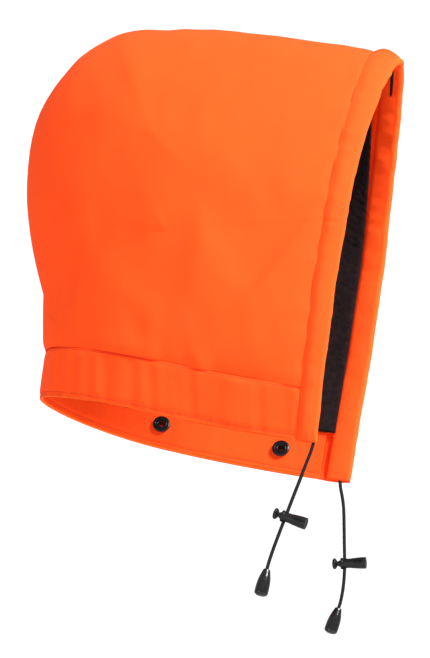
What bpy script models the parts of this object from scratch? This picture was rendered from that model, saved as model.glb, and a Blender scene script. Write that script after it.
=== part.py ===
"""A detachable padded jacket hood: two shell panels over wadding and a fleece lining, a rolled
casing with a drawcord round the face opening, and a neckband with press stud sockets.

The face opening looks towards -Y, +Z is up and +X is the wearer's left. The origin is the middle
of the neck opening. Sizes are in metres.
"""

import math

import bmesh
import bpy
from mathutils import Matrix, Vector
from mathutils.geometry import interpolate_bezier, intersect_point_line

# The whole hood, as reaches from the middle of the neck opening
crown_height = 0.358
back_reach = 0.1345
brow_reach = 0.186
brow_height = 0.317
chin_reach = 0.125
nape_reach = 0.125
nape_tuck = 0.005  # how far the neckband's top edge leans in over the nape
neck_drop = 0.034  # the chin corners lie this far below the origin, the nape this far above
neck_sag = 0.0055
neck_half_width = 0.063
face_half_width = 0.080
temple_half_width = 0.095
ear_rise = 0.160  # height over which the neck widens to the temples
temple_depth = 0.140  # depth behind the face edge over which the hood widens to the temples
nape_roll = 0.100  # distance from the centre seam at which a side is at its full width
crown_roll = 0.165
face_roundness = 1.5
crown_roundness = 1.9
face_bow = 0.25

# Layers of cloth
fabric = 0.0012
wadding_thickness = 0.0035
fleece = 0.0020
layer_gap = 0.0005
seam_gap = 0.0004
seam_slack = 0.0002  # a spot this near the centre seam counts as on it
seam_overlap = 0.0015  # how far a panel is drawn past the centre plane before it is trimmed
inner_inset = 0.0015  # how far the hidden layers stop short of the casing and the neckband
seam_steps = 8
hood_thickness = fabric + wadding_thickness + fleece + 2 * layer_gap

# Face casing and neckband
casing_width = 0.021
casing_puff = 0.0008
casing_lean = 0.17
brow_lean = 0.43
band_height = 0.043
facing_height = band_height - 0.004
interlining_height = band_height - 0.002
interlining = 0.0010

# Drawcord
cord_diameter = 0.0028
cord_parting = 0.11 * cord_diameter  # gap between the stretches that the cord is modelled in
pull_out = 0.050  # how far each end can be drawn out of the casing
tail_length = pull_out + 0.005
run_guides = 18
cord_setback = {"right": 0.0075, "left": 0.0042}  # from the casing's folded edge to the cord
cord_route = {  # from the mouth of the casing
    "right": [
        (0.0005, 0.0022, -0.0068), (0.0008, 0.0056, -0.0150), (0.0010, 0.0112, -0.0290),
        (0.0010, 0.0168, -0.0430), (0.0010, 0.0224, -0.0572), (0.0010, 0.0280, -0.0714),
        (0.0010, 0.0332, -0.0850), (0.0010, 0.0372, -0.0965), (0.0010, 0.0396, -0.1055),
    ],
    "left": [
        (-0.0006, -0.0006, -0.0068), (-0.0012, -0.0020, -0.0145), (-0.0015, -0.0030, -0.0240),
        (-0.0015, -0.0032, -0.0400), (-0.0015, -0.0032, -0.0560), (-0.0015, -0.0032, -0.0720),
        (-0.0015, -0.0027, -0.0830), (-0.0015, -0.0014, -0.0940), (-0.0015, 0.0008, -0.1045),
        (-0.0015, 0.0036, -0.1125),
    ],
}
lock_drop = {"right": 0.0600, "left": 0.0715}  # from the mouth down to the cord lock

# Cord lock: distances run along its barrel from the cord's centre
lock_mouth = -0.0032
lock_end = 0.0180
lock_bore_end = 0.0145
lock_flange_radius = 0.0048
lock_waist_radius = 0.0039
lock_radius = 0.0049
lock_wall = 0.0010
cord_hole_clearance = 0.0008
plunger_slot_clearance = 0.0005
running_gap = 0.0003
plunger_travel = 0.0022
plunger_head = 0.0037
plunger_head_radius = 0.0046
plunger_neck = 0.0032
plunger_stem_end = 0.0046
spring_wire = 0.0005
spring_turns = 5
grip_slot = (0.0085, 0.0014, 0.0016)  # length, depth and width of the barrel's side recesses
grip_slot_start = 0.0075

# Cord end cap
cap_length = 0.0215
cap_radius = 0.0056
cap_neck_radius = 0.0026
cap_wall = 0.0010
cap_plug_radius = 0.0046
cap_plug_height = 0.0030
knot_radius = 0.0022

# Press stud sockets in the neckband
stud_radius = 0.0075
stud_height = 0.0030
stud_hole_radius = 0.0028
stud_rise = 0.020  # above the neckband's lower edge
stud_places = {  # side, and share of the way from the casing to the nape
    "front_right": (-1, 0.157), "rear_right": (-1, 0.614), "centre_back": (1, 1.0),
    "rear_left": (1, 0.614), "front_left": (1, 0.157),
}
eyelet_radius = 0.0055
eyelet_bore_radius = 0.0022
eyelet_wall = 0.0005
eyelet_play = 0.0004  # room for the flat flange in the curved band
spring_ring_radius = 0.0034
spring_ring_wire = 0.0007

orange = (0.95, 0.15, 0.01)
black = (0.012, 0.012, 0.013)
charcoal = (0.018, 0.014, 0.014)
white = (0.8, 0.8, 0.8)
steel = (0.6, 0.6, 0.6)

sides = {"right": -1, "left": 1}


# Curves


def smooth_curve(points, steps):
    """A curve through the points, with that many steps between two of them."""
    points = [Vector(point) for point in points]
    earlier = [points[0]] + points
    later = points[1:] + [points[-1]]
    tangents = [(after - before).normalized() for before, after in zip(earlier, later)]
    curve = [points[0]]
    for start, end, leave, arrive in zip(points, points[1:], tangents, tangents[1:]):
        reach = (end - start).length / 3
        span = interpolate_bezier(start, start + leave * reach, end - arrive * reach, end, steps + 1)
        curve += span[1:]
    return curve


def curve_length(curve):
    return sum((end - start).length for start, end in zip(curve, curve[1:]))


def along_curve(curve, distance):
    """The point at that distance along the curve."""
    for start, end in zip(curve, curve[1:]):
        step = (end - start).length
        if distance <= step:
            return start.lerp(end, max(distance, 0) / step)
        distance -= step
    return curve[-1].copy()


def bisect(low, high, excess):
    """Where the rising function excess is zero between low and high."""
    for _ in range(30):
        middle = (low + high) / 2
        if excess(middle) > 0:
            high = middle
        else:
            low = middle
    return (low + high) / 2


# The hood's skin. A spot is a place in side view, (y, z); the skin gives it a half-width.


def neckline(y):
    """Height of the neckband's lower edge at depth y."""
    share = y / (nape_reach if y > 0 else chin_reach)
    return neck_drop * share - neck_sag * (1 - min(share * share, 1))


def face_edge(rise):
    """Spot on the casing's folded edge, from the chin at 0 to the brow at 1."""
    lean = rise * (1 - face_bow * (1 - rise))
    y = -chin_reach - (brow_reach - chin_reach) * lean
    return Vector((y, -neck_drop + (brow_height + neck_drop) * rise))


def casing_seam(rise):
    """Spot on the seam between the casing and the panels."""
    lean = casing_lean + (brow_lean - casing_lean) * rise**4
    return face_edge(rise) + Vector((casing_width, casing_width * lean))


def centre_seam():
    """The centre seam in side view, from the nape's lower edge over the crown to the brow."""
    nape_top = neckline(nape_reach - nape_tuck) + band_height
    rise = crown_height - nape_top
    brow_seam = casing_seam(1)
    fall = crown_height - brow_seam.y
    return [Vector((nape_reach, neck_drop))] + smooth_curve([
        (nape_reach - nape_tuck, nape_top),
        (back_reach, nape_top + 0.43 * rise),
        (0.90 * back_reach, nape_top + 0.76 * rise),
        (0.45 * back_reach, nape_top + 0.977 * rise),
        (0.10 * back_reach, crown_height),
        (0.48 * brow_seam.x, crown_height - 0.38 * fall),
        brow_seam,
        face_edge(1),
    ], seam_steps)


seam_curve = centre_seam()
nape_seam_at = curve_length(seam_curve[:2])
brow_seam_at = curve_length(seam_curve[:-seam_steps])


def seam_distance(spot):
    nearest = math.inf
    for start, end in zip(seam_curve, seam_curve[1:]):
        foot, share = intersect_point_line(spot, start, end)
        share = min(max(share, 0), 1)
        nearest = min(nearest, (start.lerp(end, share) - spot).length)
    return nearest


def ease(share):
    """Rises from 0 to 1 and levels off there."""
    return math.sin(math.pi / 2 * min(max(share, 0), 1))


def half_width(spot):
    """Half the hood's width at a spot: nothing at the centre seam, rolling out to its full width."""
    y, z = spot
    rise = (z + neck_drop) / (brow_height + neck_drop)
    front = ease((y - face_edge(min(max(rise, 0), 1)).x) / temple_depth)
    lift = ease((z - neckline(y)) / ear_rise)
    full = face_half_width + (temple_half_width - face_half_width) * front
    width = neck_half_width + (full - neck_half_width) * lift
    roll = nape_roll + (crown_roll - nape_roll) * lift
    roundness = face_roundness + (crown_roundness - face_roundness) * front
    left_over = 1 - min(max(seam_distance(spot) - seam_slack, 0) / roll, 1)
    return width * (1 - left_over**roundness) ** (1 / roundness)


def skin(side, spot):
    return Vector((side * half_width(spot), spot[0], spot[1]))


def skin_normal(side, spot):
    step = 0.0010
    y, z = spot
    along_y = half_width(Vector((y + step, z))) - half_width(Vector((y - step, z)))
    along_z = half_width(Vector((y, z + step))) - half_width(Vector((y, z - step)))
    return Vector((side * 2 * step, -along_y, -along_z)).normalized()


def band_top_rise():
    """The face edge's rise where the casing seam crosses the neckband's top edge."""
    def excess(rise):
        y, z = casing_seam(rise)
        return z - neckline(y) - band_height
    return bisect(0, 0.5, excess)


band_top = band_top_rise()


def band_spot(share, across):
    """Spot on the neckband: share 0 to 1 up it, across 0 at the casing to 1 at the nape."""
    front = casing_seam(band_top * share).x + seam_gap
    back = nape_reach - nape_tuck * share
    y = front + (back - front) * across
    return Vector((y, neckline(y) + band_height * share))


# Making objects


def material(name, colour, roughness, metallic=0.0):
    made = bpy.data.materials.new(name)
    made.use_nodes = True
    shader = made.node_tree.nodes["Principled BSDF"]
    shader.inputs["Base Color"].default_value = (*colour, 1)
    shader.inputs["Roughness"].default_value = roughness
    shader.inputs["Metallic"].default_value = metallic
    return made


def clear_scene():
    for item in list(bpy.data.objects):
        bpy.data.objects.remove(item)
    for name in ("hood", "cutters"):
        bpy.context.scene.collection.children.link(bpy.data.collections.new(name))


def place(name, data, colour=None, roughness=0.6, metallic=0.0, matrix=None):
    """Puts an object in the scene with its own material, or among the cutters without a colour."""
    made = bpy.data.objects.new(name, data)
    if matrix is not None:
        made.matrix_world = matrix
    if colour is None:
        bpy.data.collections["cutters"].objects.link(made)
        made.hide_render = True
        made.display_type = "WIRE"
        return made
    bpy.data.collections["hood"].objects.link(made)
    made.data.materials.append(material(name, colour, roughness, metallic))
    return made


def sheet(name, columns, rows, spot_at, inside_out=False):
    """An open surface: a flat grid whose vertices move to spot_at(across, up)."""
    grid = bmesh.new()
    bmesh.ops.create_grid(grid, x_segments=columns, y_segments=rows, size=0.5)
    for vertex in grid.verts:
        vertex.co = spot_at(vertex.co.x + 0.5, vertex.co.y + 0.5)
    bmesh.ops.triangulate(grid, faces=grid.faces, quad_method="FIXED")
    if inside_out:
        bmesh.ops.reverse_faces(grid, faces=grid.faces)
    mesh = bpy.data.meshes.new(name)
    grid.to_mesh(mesh)
    grid.free()
    mesh.shade_smooth()
    return mesh


def sink(made, depth):
    """Moves a surface inwards along its normals."""
    push = made.modifiers.new("depth", "DISPLACE")
    push.mid_level = 0
    push.strength = -depth


def thicken(made, thickness, offset=-1):
    wall = made.modifiers.new("thickness", "SOLIDIFY")
    wall.thickness = thickness
    wall.offset = offset


def cut(made, cutter):
    knife = made.modifiers.new("cut " + cutter.name, "BOOLEAN")
    knife.operation = "DIFFERENCE"
    knife.object = cutter


def turned(name, profile, steps, matrix, colour=None, roughness=0.4):
    """A shape turned round its Z axis from a closed profile of (radius, height) points."""
    outline = bmesh.new()
    corners = [outline.verts.new((radius, 0, height)) for radius, height in profile]
    for start, end in zip(corners, corners[1:] + corners[:1]):
        if start.co.x > 0 or end.co.x > 0:
            outline.edges.new((start, end))
    mesh = bpy.data.meshes.new(name)
    outline.to_mesh(mesh)
    outline.free()
    made = place(name, mesh, colour, roughness, matrix=matrix)
    lathe = made.modifiers.new("lathe", "SCREW")
    lathe.steps = lathe.render_steps = steps
    lathe.use_merge_vertices = True
    lathe.merge_threshold = 0.00002
    lathe.use_smooth_shade = True
    return made


def tube(name, points, diameter, colour=None, roughness=0.7, sides_step=2, closed=False):
    """A round tube along the points."""
    data = bpy.data.curves.new(name, "CURVE")
    data.dimensions = "3D"
    data.bevel_depth = diameter / 2
    data.bevel_resolution = sides_step
    data.use_fill_caps = not closed
    spline = data.splines.new("POLY")
    spline.points.add(len(points) - 1)
    for target, point in zip(spline.points, points):
        target.co = (*point, 1)
    spline.use_cyclic_u = closed
    return place(name, data, colour, roughness)


def facing_along(origin, forward, up):
    """A matrix whose Z runs along forward, with Y as near to up as it can be."""
    z = forward.normalized()
    x = up.cross(z).normalized()
    y = z.cross(x)
    return Matrix.Translation(origin) @ Matrix((x, y, z)).transposed().to_4x4()


# The hood's two halves


def crowded(share, power=1.6):
    """Crowds rows towards 1, where the skin rolls over."""
    return 1 - (1 - share) ** power


def panel_spot(across, up, inset):
    """Spot on a half of the hood, from the casing (across 0) to the back, the neck (up 0) to the top."""
    across, up = crowded(across), crowded(up)
    corner_share = 0.5
    seam_length = brow_seam_at - nape_seam_at

    def bottom(share):
        start = casing_seam(band_top).x + inset
        end = nape_reach - nape_tuck
        y = start + (end - start) * share
        return Vector((y, neckline(y) + band_height + inset))

    def seam(share):
        return along_curve(seam_curve, nape_seam_at + inset + (seam_length - 2 * inset) * share)

    def front(share):
        return casing_seam(band_top + (1 - band_top) * share) + Vector((inset, inset * (1 - share)))

    def top(share):
        return seam(1 + (corner_share - 1) * share)

    def back(share):
        return seam(corner_share * share)

    corners = (bottom(0).lerp(bottom(1), across)).lerp(top(0).lerp(top(1), across), up)
    ruled_up = bottom(across).lerp(top(across), up)
    ruled_across = front(up).lerp(back(up), across)
    return ruled_up + ruled_across - corners


def panel(name, side, depths, thickness, inset, colour, roughness):
    """One layer of one half of the hood, sunk below the layers over it and trimmed at the centre."""
    def spot_at(across, up):
        spot = panel_spot(across, up, inset)
        if max(across, up) > 0.999:
            return Vector((-side * seam_overlap, *spot))
        return skin(side, spot)

    mesh = sheet(name, 12, 12, spot_at, inside_out=side < 0)
    made = place(name, mesh, colour, roughness)
    for depth in depths:
        sink(made, depth)
    thicken(made, thickness)
    cut(made, bpy.data.objects[f"beyond_centre_{'left' if side < 0 else 'right'}"])
    return made


def centre_cutters():
    """A block on each side of the centre plane, to trim the other side's layers."""
    reach = 2 * (brow_reach + back_reach)
    for name, side in sides.items():
        block = bmesh.new()
        bmesh.ops.create_cube(block, size=1)
        bmesh.ops.scale(block, vec=(reach / 8, reach, 2 * reach), verts=block.verts)
        mesh = bpy.data.meshes.new("beyond_centre_" + name)
        block.to_mesh(mesh)
        block.free()
        middle = side * (reach / 16 - seam_gap / 2)
        place("beyond_centre_" + name, mesh, matrix=Matrix.Translation((middle, 0, 0)))


def hood_halves():
    wadding_depths = [fabric + layer_gap]
    lining_depths = wadding_depths + [wadding_thickness + layer_gap]
    centre_cutters()
    for name, side in sides.items():
        panel("shell_" + name, side, [], fabric, seam_gap, orange, 0.6)
        panel("wadding_" + name, side, wadding_depths, wadding_thickness, inner_inset, white, 0.9)
        panel("lining_" + name, side, lining_depths, fleece, inner_inset, charcoal, 0.95)


# Face casing


def around_face(share):
    """The side and the face edge's rise for a share of the way round, from right chin to left."""
    return (-1 if share < 0.5 else 1), 1 - abs(2 * share - 1) ** 1.8


def casing_frame(share):
    """Seam point, forward and outward directions, and width of the casing at a share of its way."""
    def edge_at(where):
        side, rise = around_face(where)
        return skin(side, face_edge(rise))

    side, rise = around_face(share)
    step = 0.02
    tangent = edge_at(min(share + step, 1)) - edge_at(max(share - step, 0))
    seam_point = skin(side, casing_seam(rise))
    forward = edge_at(share) - seam_point
    width = forward.length
    forward.normalize()
    outward = forward.cross(tangent).normalized()
    return seam_point, forward, outward, width


def casing_section(width):
    """The folded strip across the casing, as (forward, depth) points from one raw edge to the other."""
    radius = hood_thickness / 2 - fabric / 2
    middle = Vector((width - hood_thickness / 2, hood_thickness / 2))
    nose = [middle + radius * Vector((math.sin(turn), -math.cos(turn)))
            for turn in (math.radians(30 * step) for step in range(7))]
    outer = [Vector((0, fabric / 2)), Vector((0.45 * width, fabric / 2 - casing_puff))]
    inner = [Vector((0.45 * width, hood_thickness - fabric / 2 + casing_puff)),
             Vector((0, hood_thickness - fabric / 2))]
    return outer + nose + inner


def casing_point(share, setback, depth):
    """A point in the casing: setback from its fold, and depth in from the skin."""
    seam_point, forward, outward, width = casing_frame(share)
    return seam_point + forward * (width - setback) - outward * depth


def face_casing():
    corners = len(casing_section(1))

    def spot_at(across, along):
        seam_point, forward, outward, width = casing_frame(along)
        out, depth = casing_section(width)[round(across * (corners - 1))]
        return seam_point + forward * out - outward * depth

    mesh = sheet("face_casing", corners - 1, 40, spot_at)
    thicken(place("face_casing", mesh, orange, 0.6), fabric, offset=0)


# Neckband


def band_sheet(name, top, columns):
    def spot_at(across, up):
        side = -1 if across < 0.5 else 1
        return skin(side, band_spot(up * top / band_height, crowded(1 - abs(2 * across - 1), 2)))

    return sheet(name, columns, 2, spot_at, inside_out=True)


def stud_frame(place_name):
    """Where a stud sits on the skin, its inward direction, and how far its disc sinks the band."""
    side, across = stud_places[place_name]
    share = stud_rise / band_height
    centre = skin(side, band_spot(share, across))
    if across == 1:
        inward = Vector((0, -1, -nape_tuck / band_height)).normalized()
    else:
        inward = -skin_normal(side, band_spot(share, across))
    return centre, inward


def disc_clearance(name, radius):
    """How far the band curves in at the rim of a flat disc of that radius, where a stud sits."""
    side, across = stud_places[name]
    centre, inward = stud_frame(name)
    share = stud_rise / band_height

    def away(where):
        return (skin(side, band_spot(share, where)) - centre).length - radius

    rim = [band_spot(share, bisect(0, across, lambda where: -away(where)))]
    if across < 1:
        rim.append(band_spot(share, bisect(across, 1, away)))
        rim += [band_spot(share + step / band_height, across) for step in (-radius, radius)]
    return max([(skin(side, spot) - centre).dot(inward) for spot in rim] + [0])


def neckband():
    eyelet_room = eyelet_wall + 2 * layer_gap + eyelet_play
    interlining_depth = fabric + eyelet_room
    facing_depth = interlining_depth + interlining + layer_gap
    outer = place("neckband_outer", band_sheet("neckband_outer", band_height, 36), orange, 0.6)
    thicken(outer, fabric)
    stiffener = place("neckband_interlining", band_sheet("neckband_interlining", interlining_height, 36),
                      white, 0.9)
    sink(stiffener, interlining_depth)
    thicken(stiffener, interlining)
    facing = place("neckband_facing", band_sheet("neckband_facing", facing_height, 36), orange, 0.6)
    sink(facing, facing_depth)
    thicken(facing, fabric)
    for name in stud_places:
        centre, inward = stud_frame(name)
        drill = punch("punch_" + name, centre, inward)
        cut(stiffener, drill)
        cut(facing, drill)
    for name in stud_places:
        press_stud(name, interlining_depth - layer_gap, facing_depth + fabric)


def punch(name, centre, inward):
    """A cutter for the hole that a stud's eyelet passes through."""
    radius = eyelet_bore_radius + eyelet_wall + running_gap
    profile = [(0, 0.0), (radius, 0.0), (radius, 2 * hood_thickness), (0, 2 * hood_thickness)]
    matrix = facing_along(centre - inward * hood_thickness / 2, inward, Vector((0, 0, 1)))
    return turned(name, profile[::-1], 16, matrix)


def press_stud(name, eyelet_depth, facing_back):
    """A socket on the inside of the neckband, its spring ring, and the eyelet that holds it on."""
    centre, inward = stud_frame(name)
    matrix = facing_along(centre, inward, Vector((0, 0, 1)))
    rise = disc_clearance(name, stud_radius)
    base = facing_back + rise + 2 * running_gap
    face = base + stud_height
    groove = spring_ring_radius + spring_ring_wire + running_gap
    socket = [
        (stud_hole_radius, face), (stud_radius - 0.0012, face), (stud_radius - 0.0003, face - 0.0004),
        (stud_radius, face - 0.0012), (stud_radius - 0.0002, base + 0.0003), (stud_radius - 0.0006, base),
        (eyelet_bore_radius + eyelet_wall + running_gap, base),
        (eyelet_bore_radius + eyelet_wall + running_gap, base + 0.0004),
        (groove, base + 0.0004), (groove, face - 0.0006), (stud_hole_radius, face - 0.0006),
    ]
    turned(f"stud_socket_{name}", socket, 20, matrix, black, 0.35)
    ring_height = (base + face) / 2
    turns = [math.radians(30 * step) for step in range(11)]
    ring = [matrix @ Vector((spring_ring_radius * math.cos(turn), spring_ring_radius * math.sin(turn),
                             ring_height)) for turn in turns]
    tube(f"stud_spring_{name}", ring, spring_ring_wire, steel, 0.3, sides_step=1)
    inner, outer = eyelet_bore_radius, eyelet_bore_radius + eyelet_wall
    flange = eyelet_depth - eyelet_wall
    eyelet = [
        (inner, base + 0.0006), (outer, base + 0.0006), (outer, eyelet_depth),
        (eyelet_radius, eyelet_depth), (eyelet_radius, flange), (inner, flange),
    ]
    turned(f"stud_eyelet_{name}", eyelet, 16, matrix, black, 0.4)


# Drawcord, its locks and its end caps


def cord_place(name, up):
    """Where the cord lies in its side of the casing, from the mouth at 0 to the brow at 0.5."""
    share = up if name == "right" else 1 - up
    return casing_point(share, cord_setback[name], hood_thickness / 2)


def cord_share(name, height):
    """How far round the casing the cord is that high above its mouth."""
    mouth = cord_place(name, 0)
    return bisect(0, 0.5, lambda up: cord_place(name, up).z - mouth.z - height)


def tail_way(name):
    """The direction up the straight stretch of the cord above its mouth."""
    return (cord_place(name, cord_share(name, tail_length)) - cord_place(name, 0)).normalized()


def free_route(name):
    mouth = cord_place(name, 0)
    return smooth_curve([mouth] + [mouth + Vector(step) for step in cord_route[name]], 4)


def evenly(curve, spacing, start=0):
    """Points at even steps along a curve."""
    length = curve_length(curve) - start
    count = max(round(length / spacing), 1)
    return [along_curve(curve, start + length * step / count) for step in range(count + 1)]


def point_and_way(curve, distance):
    step = 0.001
    point = along_curve(curve, distance)
    return point, (along_curve(curve, distance + step) - along_curve(curve, distance - step)).normalized()


def drawcord():
    """The run in the casing, a straight tail at each end of it, and the two free ends."""
    margin = cord_parting / 2
    for name in sides:
        mouth, way = cord_place(name, 0), tail_way(name)
        tail = [mouth + way * margin, mouth + way * tail_length]
        tube("drawcord_tail_" + name, evenly(tail, 4 * cord_diameter), cord_diameter, black, 0.8)
        free = evenly(free_route(name), 2.2 * cord_diameter, margin)
        tube("drawcord_end_" + name, free, cord_diameter, black, 0.8)
    start = cord_share("right", tail_length + cord_parting)
    end = 1 - cord_share("left", tail_length + cord_parting)
    guides = []
    for step in range(run_guides + 1):
        share = start + (end - start) * step / run_guides
        setback = cord_setback["right"] + (cord_setback["left"] - cord_setback["right"]) * share
        guides.append(casing_point(share, setback, hood_thickness / 2))
    run = smooth_curve(guides, 4)
    tube("drawcord_run", evenly(run, 3.4 * cord_diameter), cord_diameter, black, 0.8)


def lock_matrix(name):
    """Z along the barrel from the plunger, X across, Y up the cord, with the cord at the origin."""
    route = free_route(name)
    mouth = route[0]
    distance = bisect(0, curve_length(route), lambda far: mouth.z - along_curve(route, far).z
                      - lock_drop[name])
    point, way = point_and_way(route, distance)
    barrel = Vector((1, 0, 0)).cross(way)
    if barrel.y > 0:
        barrel.negate()
    return facing_along(point, barrel, -way)


def cross_hole(name, matrix, radius, stretch):
    """A cutter along the cord through a lock, lengthened along the barrel by stretch."""
    hole = bmesh.new()
    bmesh.ops.create_cone(hole, cap_ends=True, segments=16, radius1=radius, radius2=radius, depth=0.04)
    half_step = Matrix.Rotation(math.pi / 16, 3, "Z")
    bmesh.ops.rotate(hole, cent=(0, 0, 0), matrix=half_step, verts=hole.verts)
    for vertex in hole.verts:
        if vertex.co.y > 0:
            vertex.co.y += stretch
    mesh = bpy.data.meshes.new(name)
    hole.to_mesh(mesh)
    hole.free()
    return place(name, mesh, matrix=matrix @ Matrix.Rotation(math.radians(-90), 4, "X"))


def cord_lock(name):
    matrix = lock_matrix(name)
    bore = lock_radius - lock_wall - 0.0010
    stem = bore - running_gap
    barrel = [
        (bore, lock_mouth), (bore, lock_bore_end), (0, lock_bore_end), (0, lock_end),
        (lock_radius - 0.0005, lock_end), (lock_radius, lock_end - 0.0005),
        (lock_radius - 0.0001, 0.0120), (lock_radius - 0.0004, 0.0085), (lock_waist_radius + 0.0002, 0.0062),
        (lock_waist_radius, 0.0048), (lock_flange_radius - 0.0006, lock_mouth + 0.0022),
        (lock_flange_radius, lock_mouth + 0.0018), (lock_flange_radius, lock_mouth + 0.0004),
        (lock_flange_radius - 0.0004, lock_mouth),
    ]
    body = turned("cord_lock_body_" + name, barrel, 24, matrix, black, 0.35)
    hole_radius = cord_diameter / 2 + cord_hole_clearance
    cut(body, cross_hole("cord_hole_" + name, matrix, hole_radius, 0))
    for turn in (0, 180):
        cut(body, grip_recess(f"grip_recess_{name}_{turn}", matrix, turn))
    head_back = lock_mouth - plunger_neck
    plunger = [
        (0, head_back - plunger_head), (0, plunger_stem_end), (stem, plunger_stem_end), (stem, head_back),
        (plunger_head_radius - 0.0012, head_back - 0.0004), (plunger_head_radius, head_back - 0.0014),
        (plunger_head_radius, head_back - plunger_head + 0.0010),
        (plunger_head_radius - 0.0010, head_back - plunger_head),
    ]
    button = turned("cord_lock_plunger_" + name, plunger, 20, matrix, black, 0.35)
    slot_radius = cord_diameter / 2 + plunger_slot_clearance
    cut(button, cross_hole("plunger_slot_" + name, matrix, slot_radius, plunger_travel))
    lock_spring(name, matrix, bore)


def grip_recess(name, matrix, turn):
    """A cutter for the oblong recess in a side of the barrel."""
    length, depth, width = grip_slot
    block = bmesh.new()
    bmesh.ops.create_cube(block, size=1)
    bmesh.ops.scale(block, vec=(2 * depth, width, length), verts=block.verts)
    mesh = bpy.data.meshes.new(name)
    block.to_mesh(mesh)
    block.free()
    across = Matrix.Rotation(math.radians(turn), 4, "Z")
    middle = Matrix.Translation((lock_radius + depth - lock_wall / 2, 0, grip_slot_start + length / 2))
    return place(name, mesh, matrix=matrix @ across @ middle)


def lock_spring(name, matrix, bore):
    start = plunger_stem_end + running_gap + spring_wire / 2
    end = lock_bore_end - running_gap - spring_wire / 2
    radius = bore - running_gap - spring_wire
    steps = 8 * spring_turns
    coil = []
    for step in range(steps + 1):
        turn = math.radians(45 * step)
        height = start + (end - start) * step / steps
        coil.append(matrix @ Vector((radius * math.cos(turn), radius * math.sin(turn), height)))
    tube("cord_lock_spring_" + name, coil, spring_wire, steel, 0.3, sides_step=0)


def end_cap(name):
    """A bell over the cord's end, the plug that closes it and the knot it holds."""
    route = free_route(name)
    way = (route[-1] - route[-2]).normalized()
    matrix = facing_along(route[-1], way, Vector((1, 0, 0)))
    entry = cord_diameter / 2 + running_gap
    top = -0.0035
    bottom = top + cap_length
    inner_start = -0.0008
    bell = [
        (entry, top), (entry, inner_start), (cap_radius - cap_wall - 0.0008, top + 0.0090),
        (cap_plug_radius + running_gap, bottom - cap_plug_height - 0.0006),
        (cap_plug_radius + running_gap, bottom - 0.0008), (cap_radius - 0.0006, bottom - 0.0008),
        (cap_radius, bottom - 0.0030), (cap_radius - 0.0002, top + 0.0115), (cap_radius - 0.0010, top + 0.0062),
        (cap_neck_radius + 0.0010, top + 0.0022), (cap_neck_radius, top + 0.0004), (cap_neck_radius - 0.0003, top),
    ]
    turned("cord_cap_bell_" + name, bell, 20, matrix, black, 0.3)
    plug = [
        (0, bottom - cap_plug_height), (cap_plug_radius, bottom - cap_plug_height),
        (cap_plug_radius, bottom - 0.0008), (cap_plug_radius - 0.0012, bottom), (0, bottom + 0.0003),
    ]
    turned("cord_cap_plug_" + name, plug[::-1], 20, matrix, black, 0.3)
    knot = bmesh.new()
    bmesh.ops.create_icosphere(knot, subdivisions=2, radius=knot_radius)
    mesh = bpy.data.meshes.new("drawcord_knot_" + name)
    knot.to_mesh(mesh)
    knot.free()
    mesh.shade_smooth()
    middle = Matrix.Translation((0, 0, knot_radius + running_gap))
    place("drawcord_knot_" + name, mesh, black, 0.8, matrix=matrix @ middle)


clear_scene()
hood_halves()
face_casing()
neckband()
drawcord()
for end in sides:
    cord_lock(end)
    end_cap(end)
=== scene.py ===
import math

import bmesh
import bpy
import numpy as np
from mathutils import Matrix, Vector


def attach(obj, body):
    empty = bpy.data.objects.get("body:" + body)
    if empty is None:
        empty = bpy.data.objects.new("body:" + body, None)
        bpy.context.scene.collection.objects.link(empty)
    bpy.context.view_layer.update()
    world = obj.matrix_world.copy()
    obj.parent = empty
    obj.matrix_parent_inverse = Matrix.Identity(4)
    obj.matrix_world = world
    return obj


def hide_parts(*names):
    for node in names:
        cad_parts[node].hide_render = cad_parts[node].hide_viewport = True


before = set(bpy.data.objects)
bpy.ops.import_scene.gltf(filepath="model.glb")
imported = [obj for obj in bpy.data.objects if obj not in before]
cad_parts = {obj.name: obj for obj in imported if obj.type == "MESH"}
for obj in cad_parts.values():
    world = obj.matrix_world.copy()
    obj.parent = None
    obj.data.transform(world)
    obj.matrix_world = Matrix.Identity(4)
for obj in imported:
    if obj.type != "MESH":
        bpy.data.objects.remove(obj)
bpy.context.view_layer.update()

sides = {"Right": -1, "Left": 1}
cadSide = {"Right": "right", "Left": "left"}

# ---- view, floor and light

cameraSetup = {"azimuth": -79, "elevation": -18, "distance": 2.55, "centre": (0, -0.0255, 0.0887),
               "fieldHeight": 0.5527}
studio = {
    "skyStrength": 0.55, "backdropStrength": 1.15, "lampsAimAt": (0, 0, 0.12),
    "floorHeight": -1.35, "floorSize": 24, "floorColour": (0.86, 0.86, 0.86, 1), "floorRoughness": 0.9,
    "key": {"place": (-1.40, -2.10, 1.7), "size": 0.9, "power": 168},
    "fill": {"place": (-2.4, 1.4, -0.9), "size": 2.4, "power": 25},
}


def makeCamera():
    azimuth, elevation = (math.radians(cameraSetup[k]) for k in ("azimuth", "elevation"))
    back = Vector((math.sin(azimuth) * math.cos(elevation), -math.cos(azimuth) * math.cos(elevation),
                   math.sin(elevation)))
    data = bpy.data.cameras.new("camera")
    data.sensor_fit = "AUTO"
    data.lens = data.sensor_width / 2 / (cameraSetup["fieldHeight"] / 2 / cameraSetup["distance"])
    camera = bpy.data.objects.new("camera", data)
    camera.location = Vector(cameraSetup["centre"]) + back * cameraSetup["distance"]
    camera.rotation_mode = "QUATERNION"
    camera.rotation_quaternion = (-back).to_track_quat("-Z", "Y")
    bpy.context.scene.collection.objects.link(camera)
    bpy.context.scene.camera = camera


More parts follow.
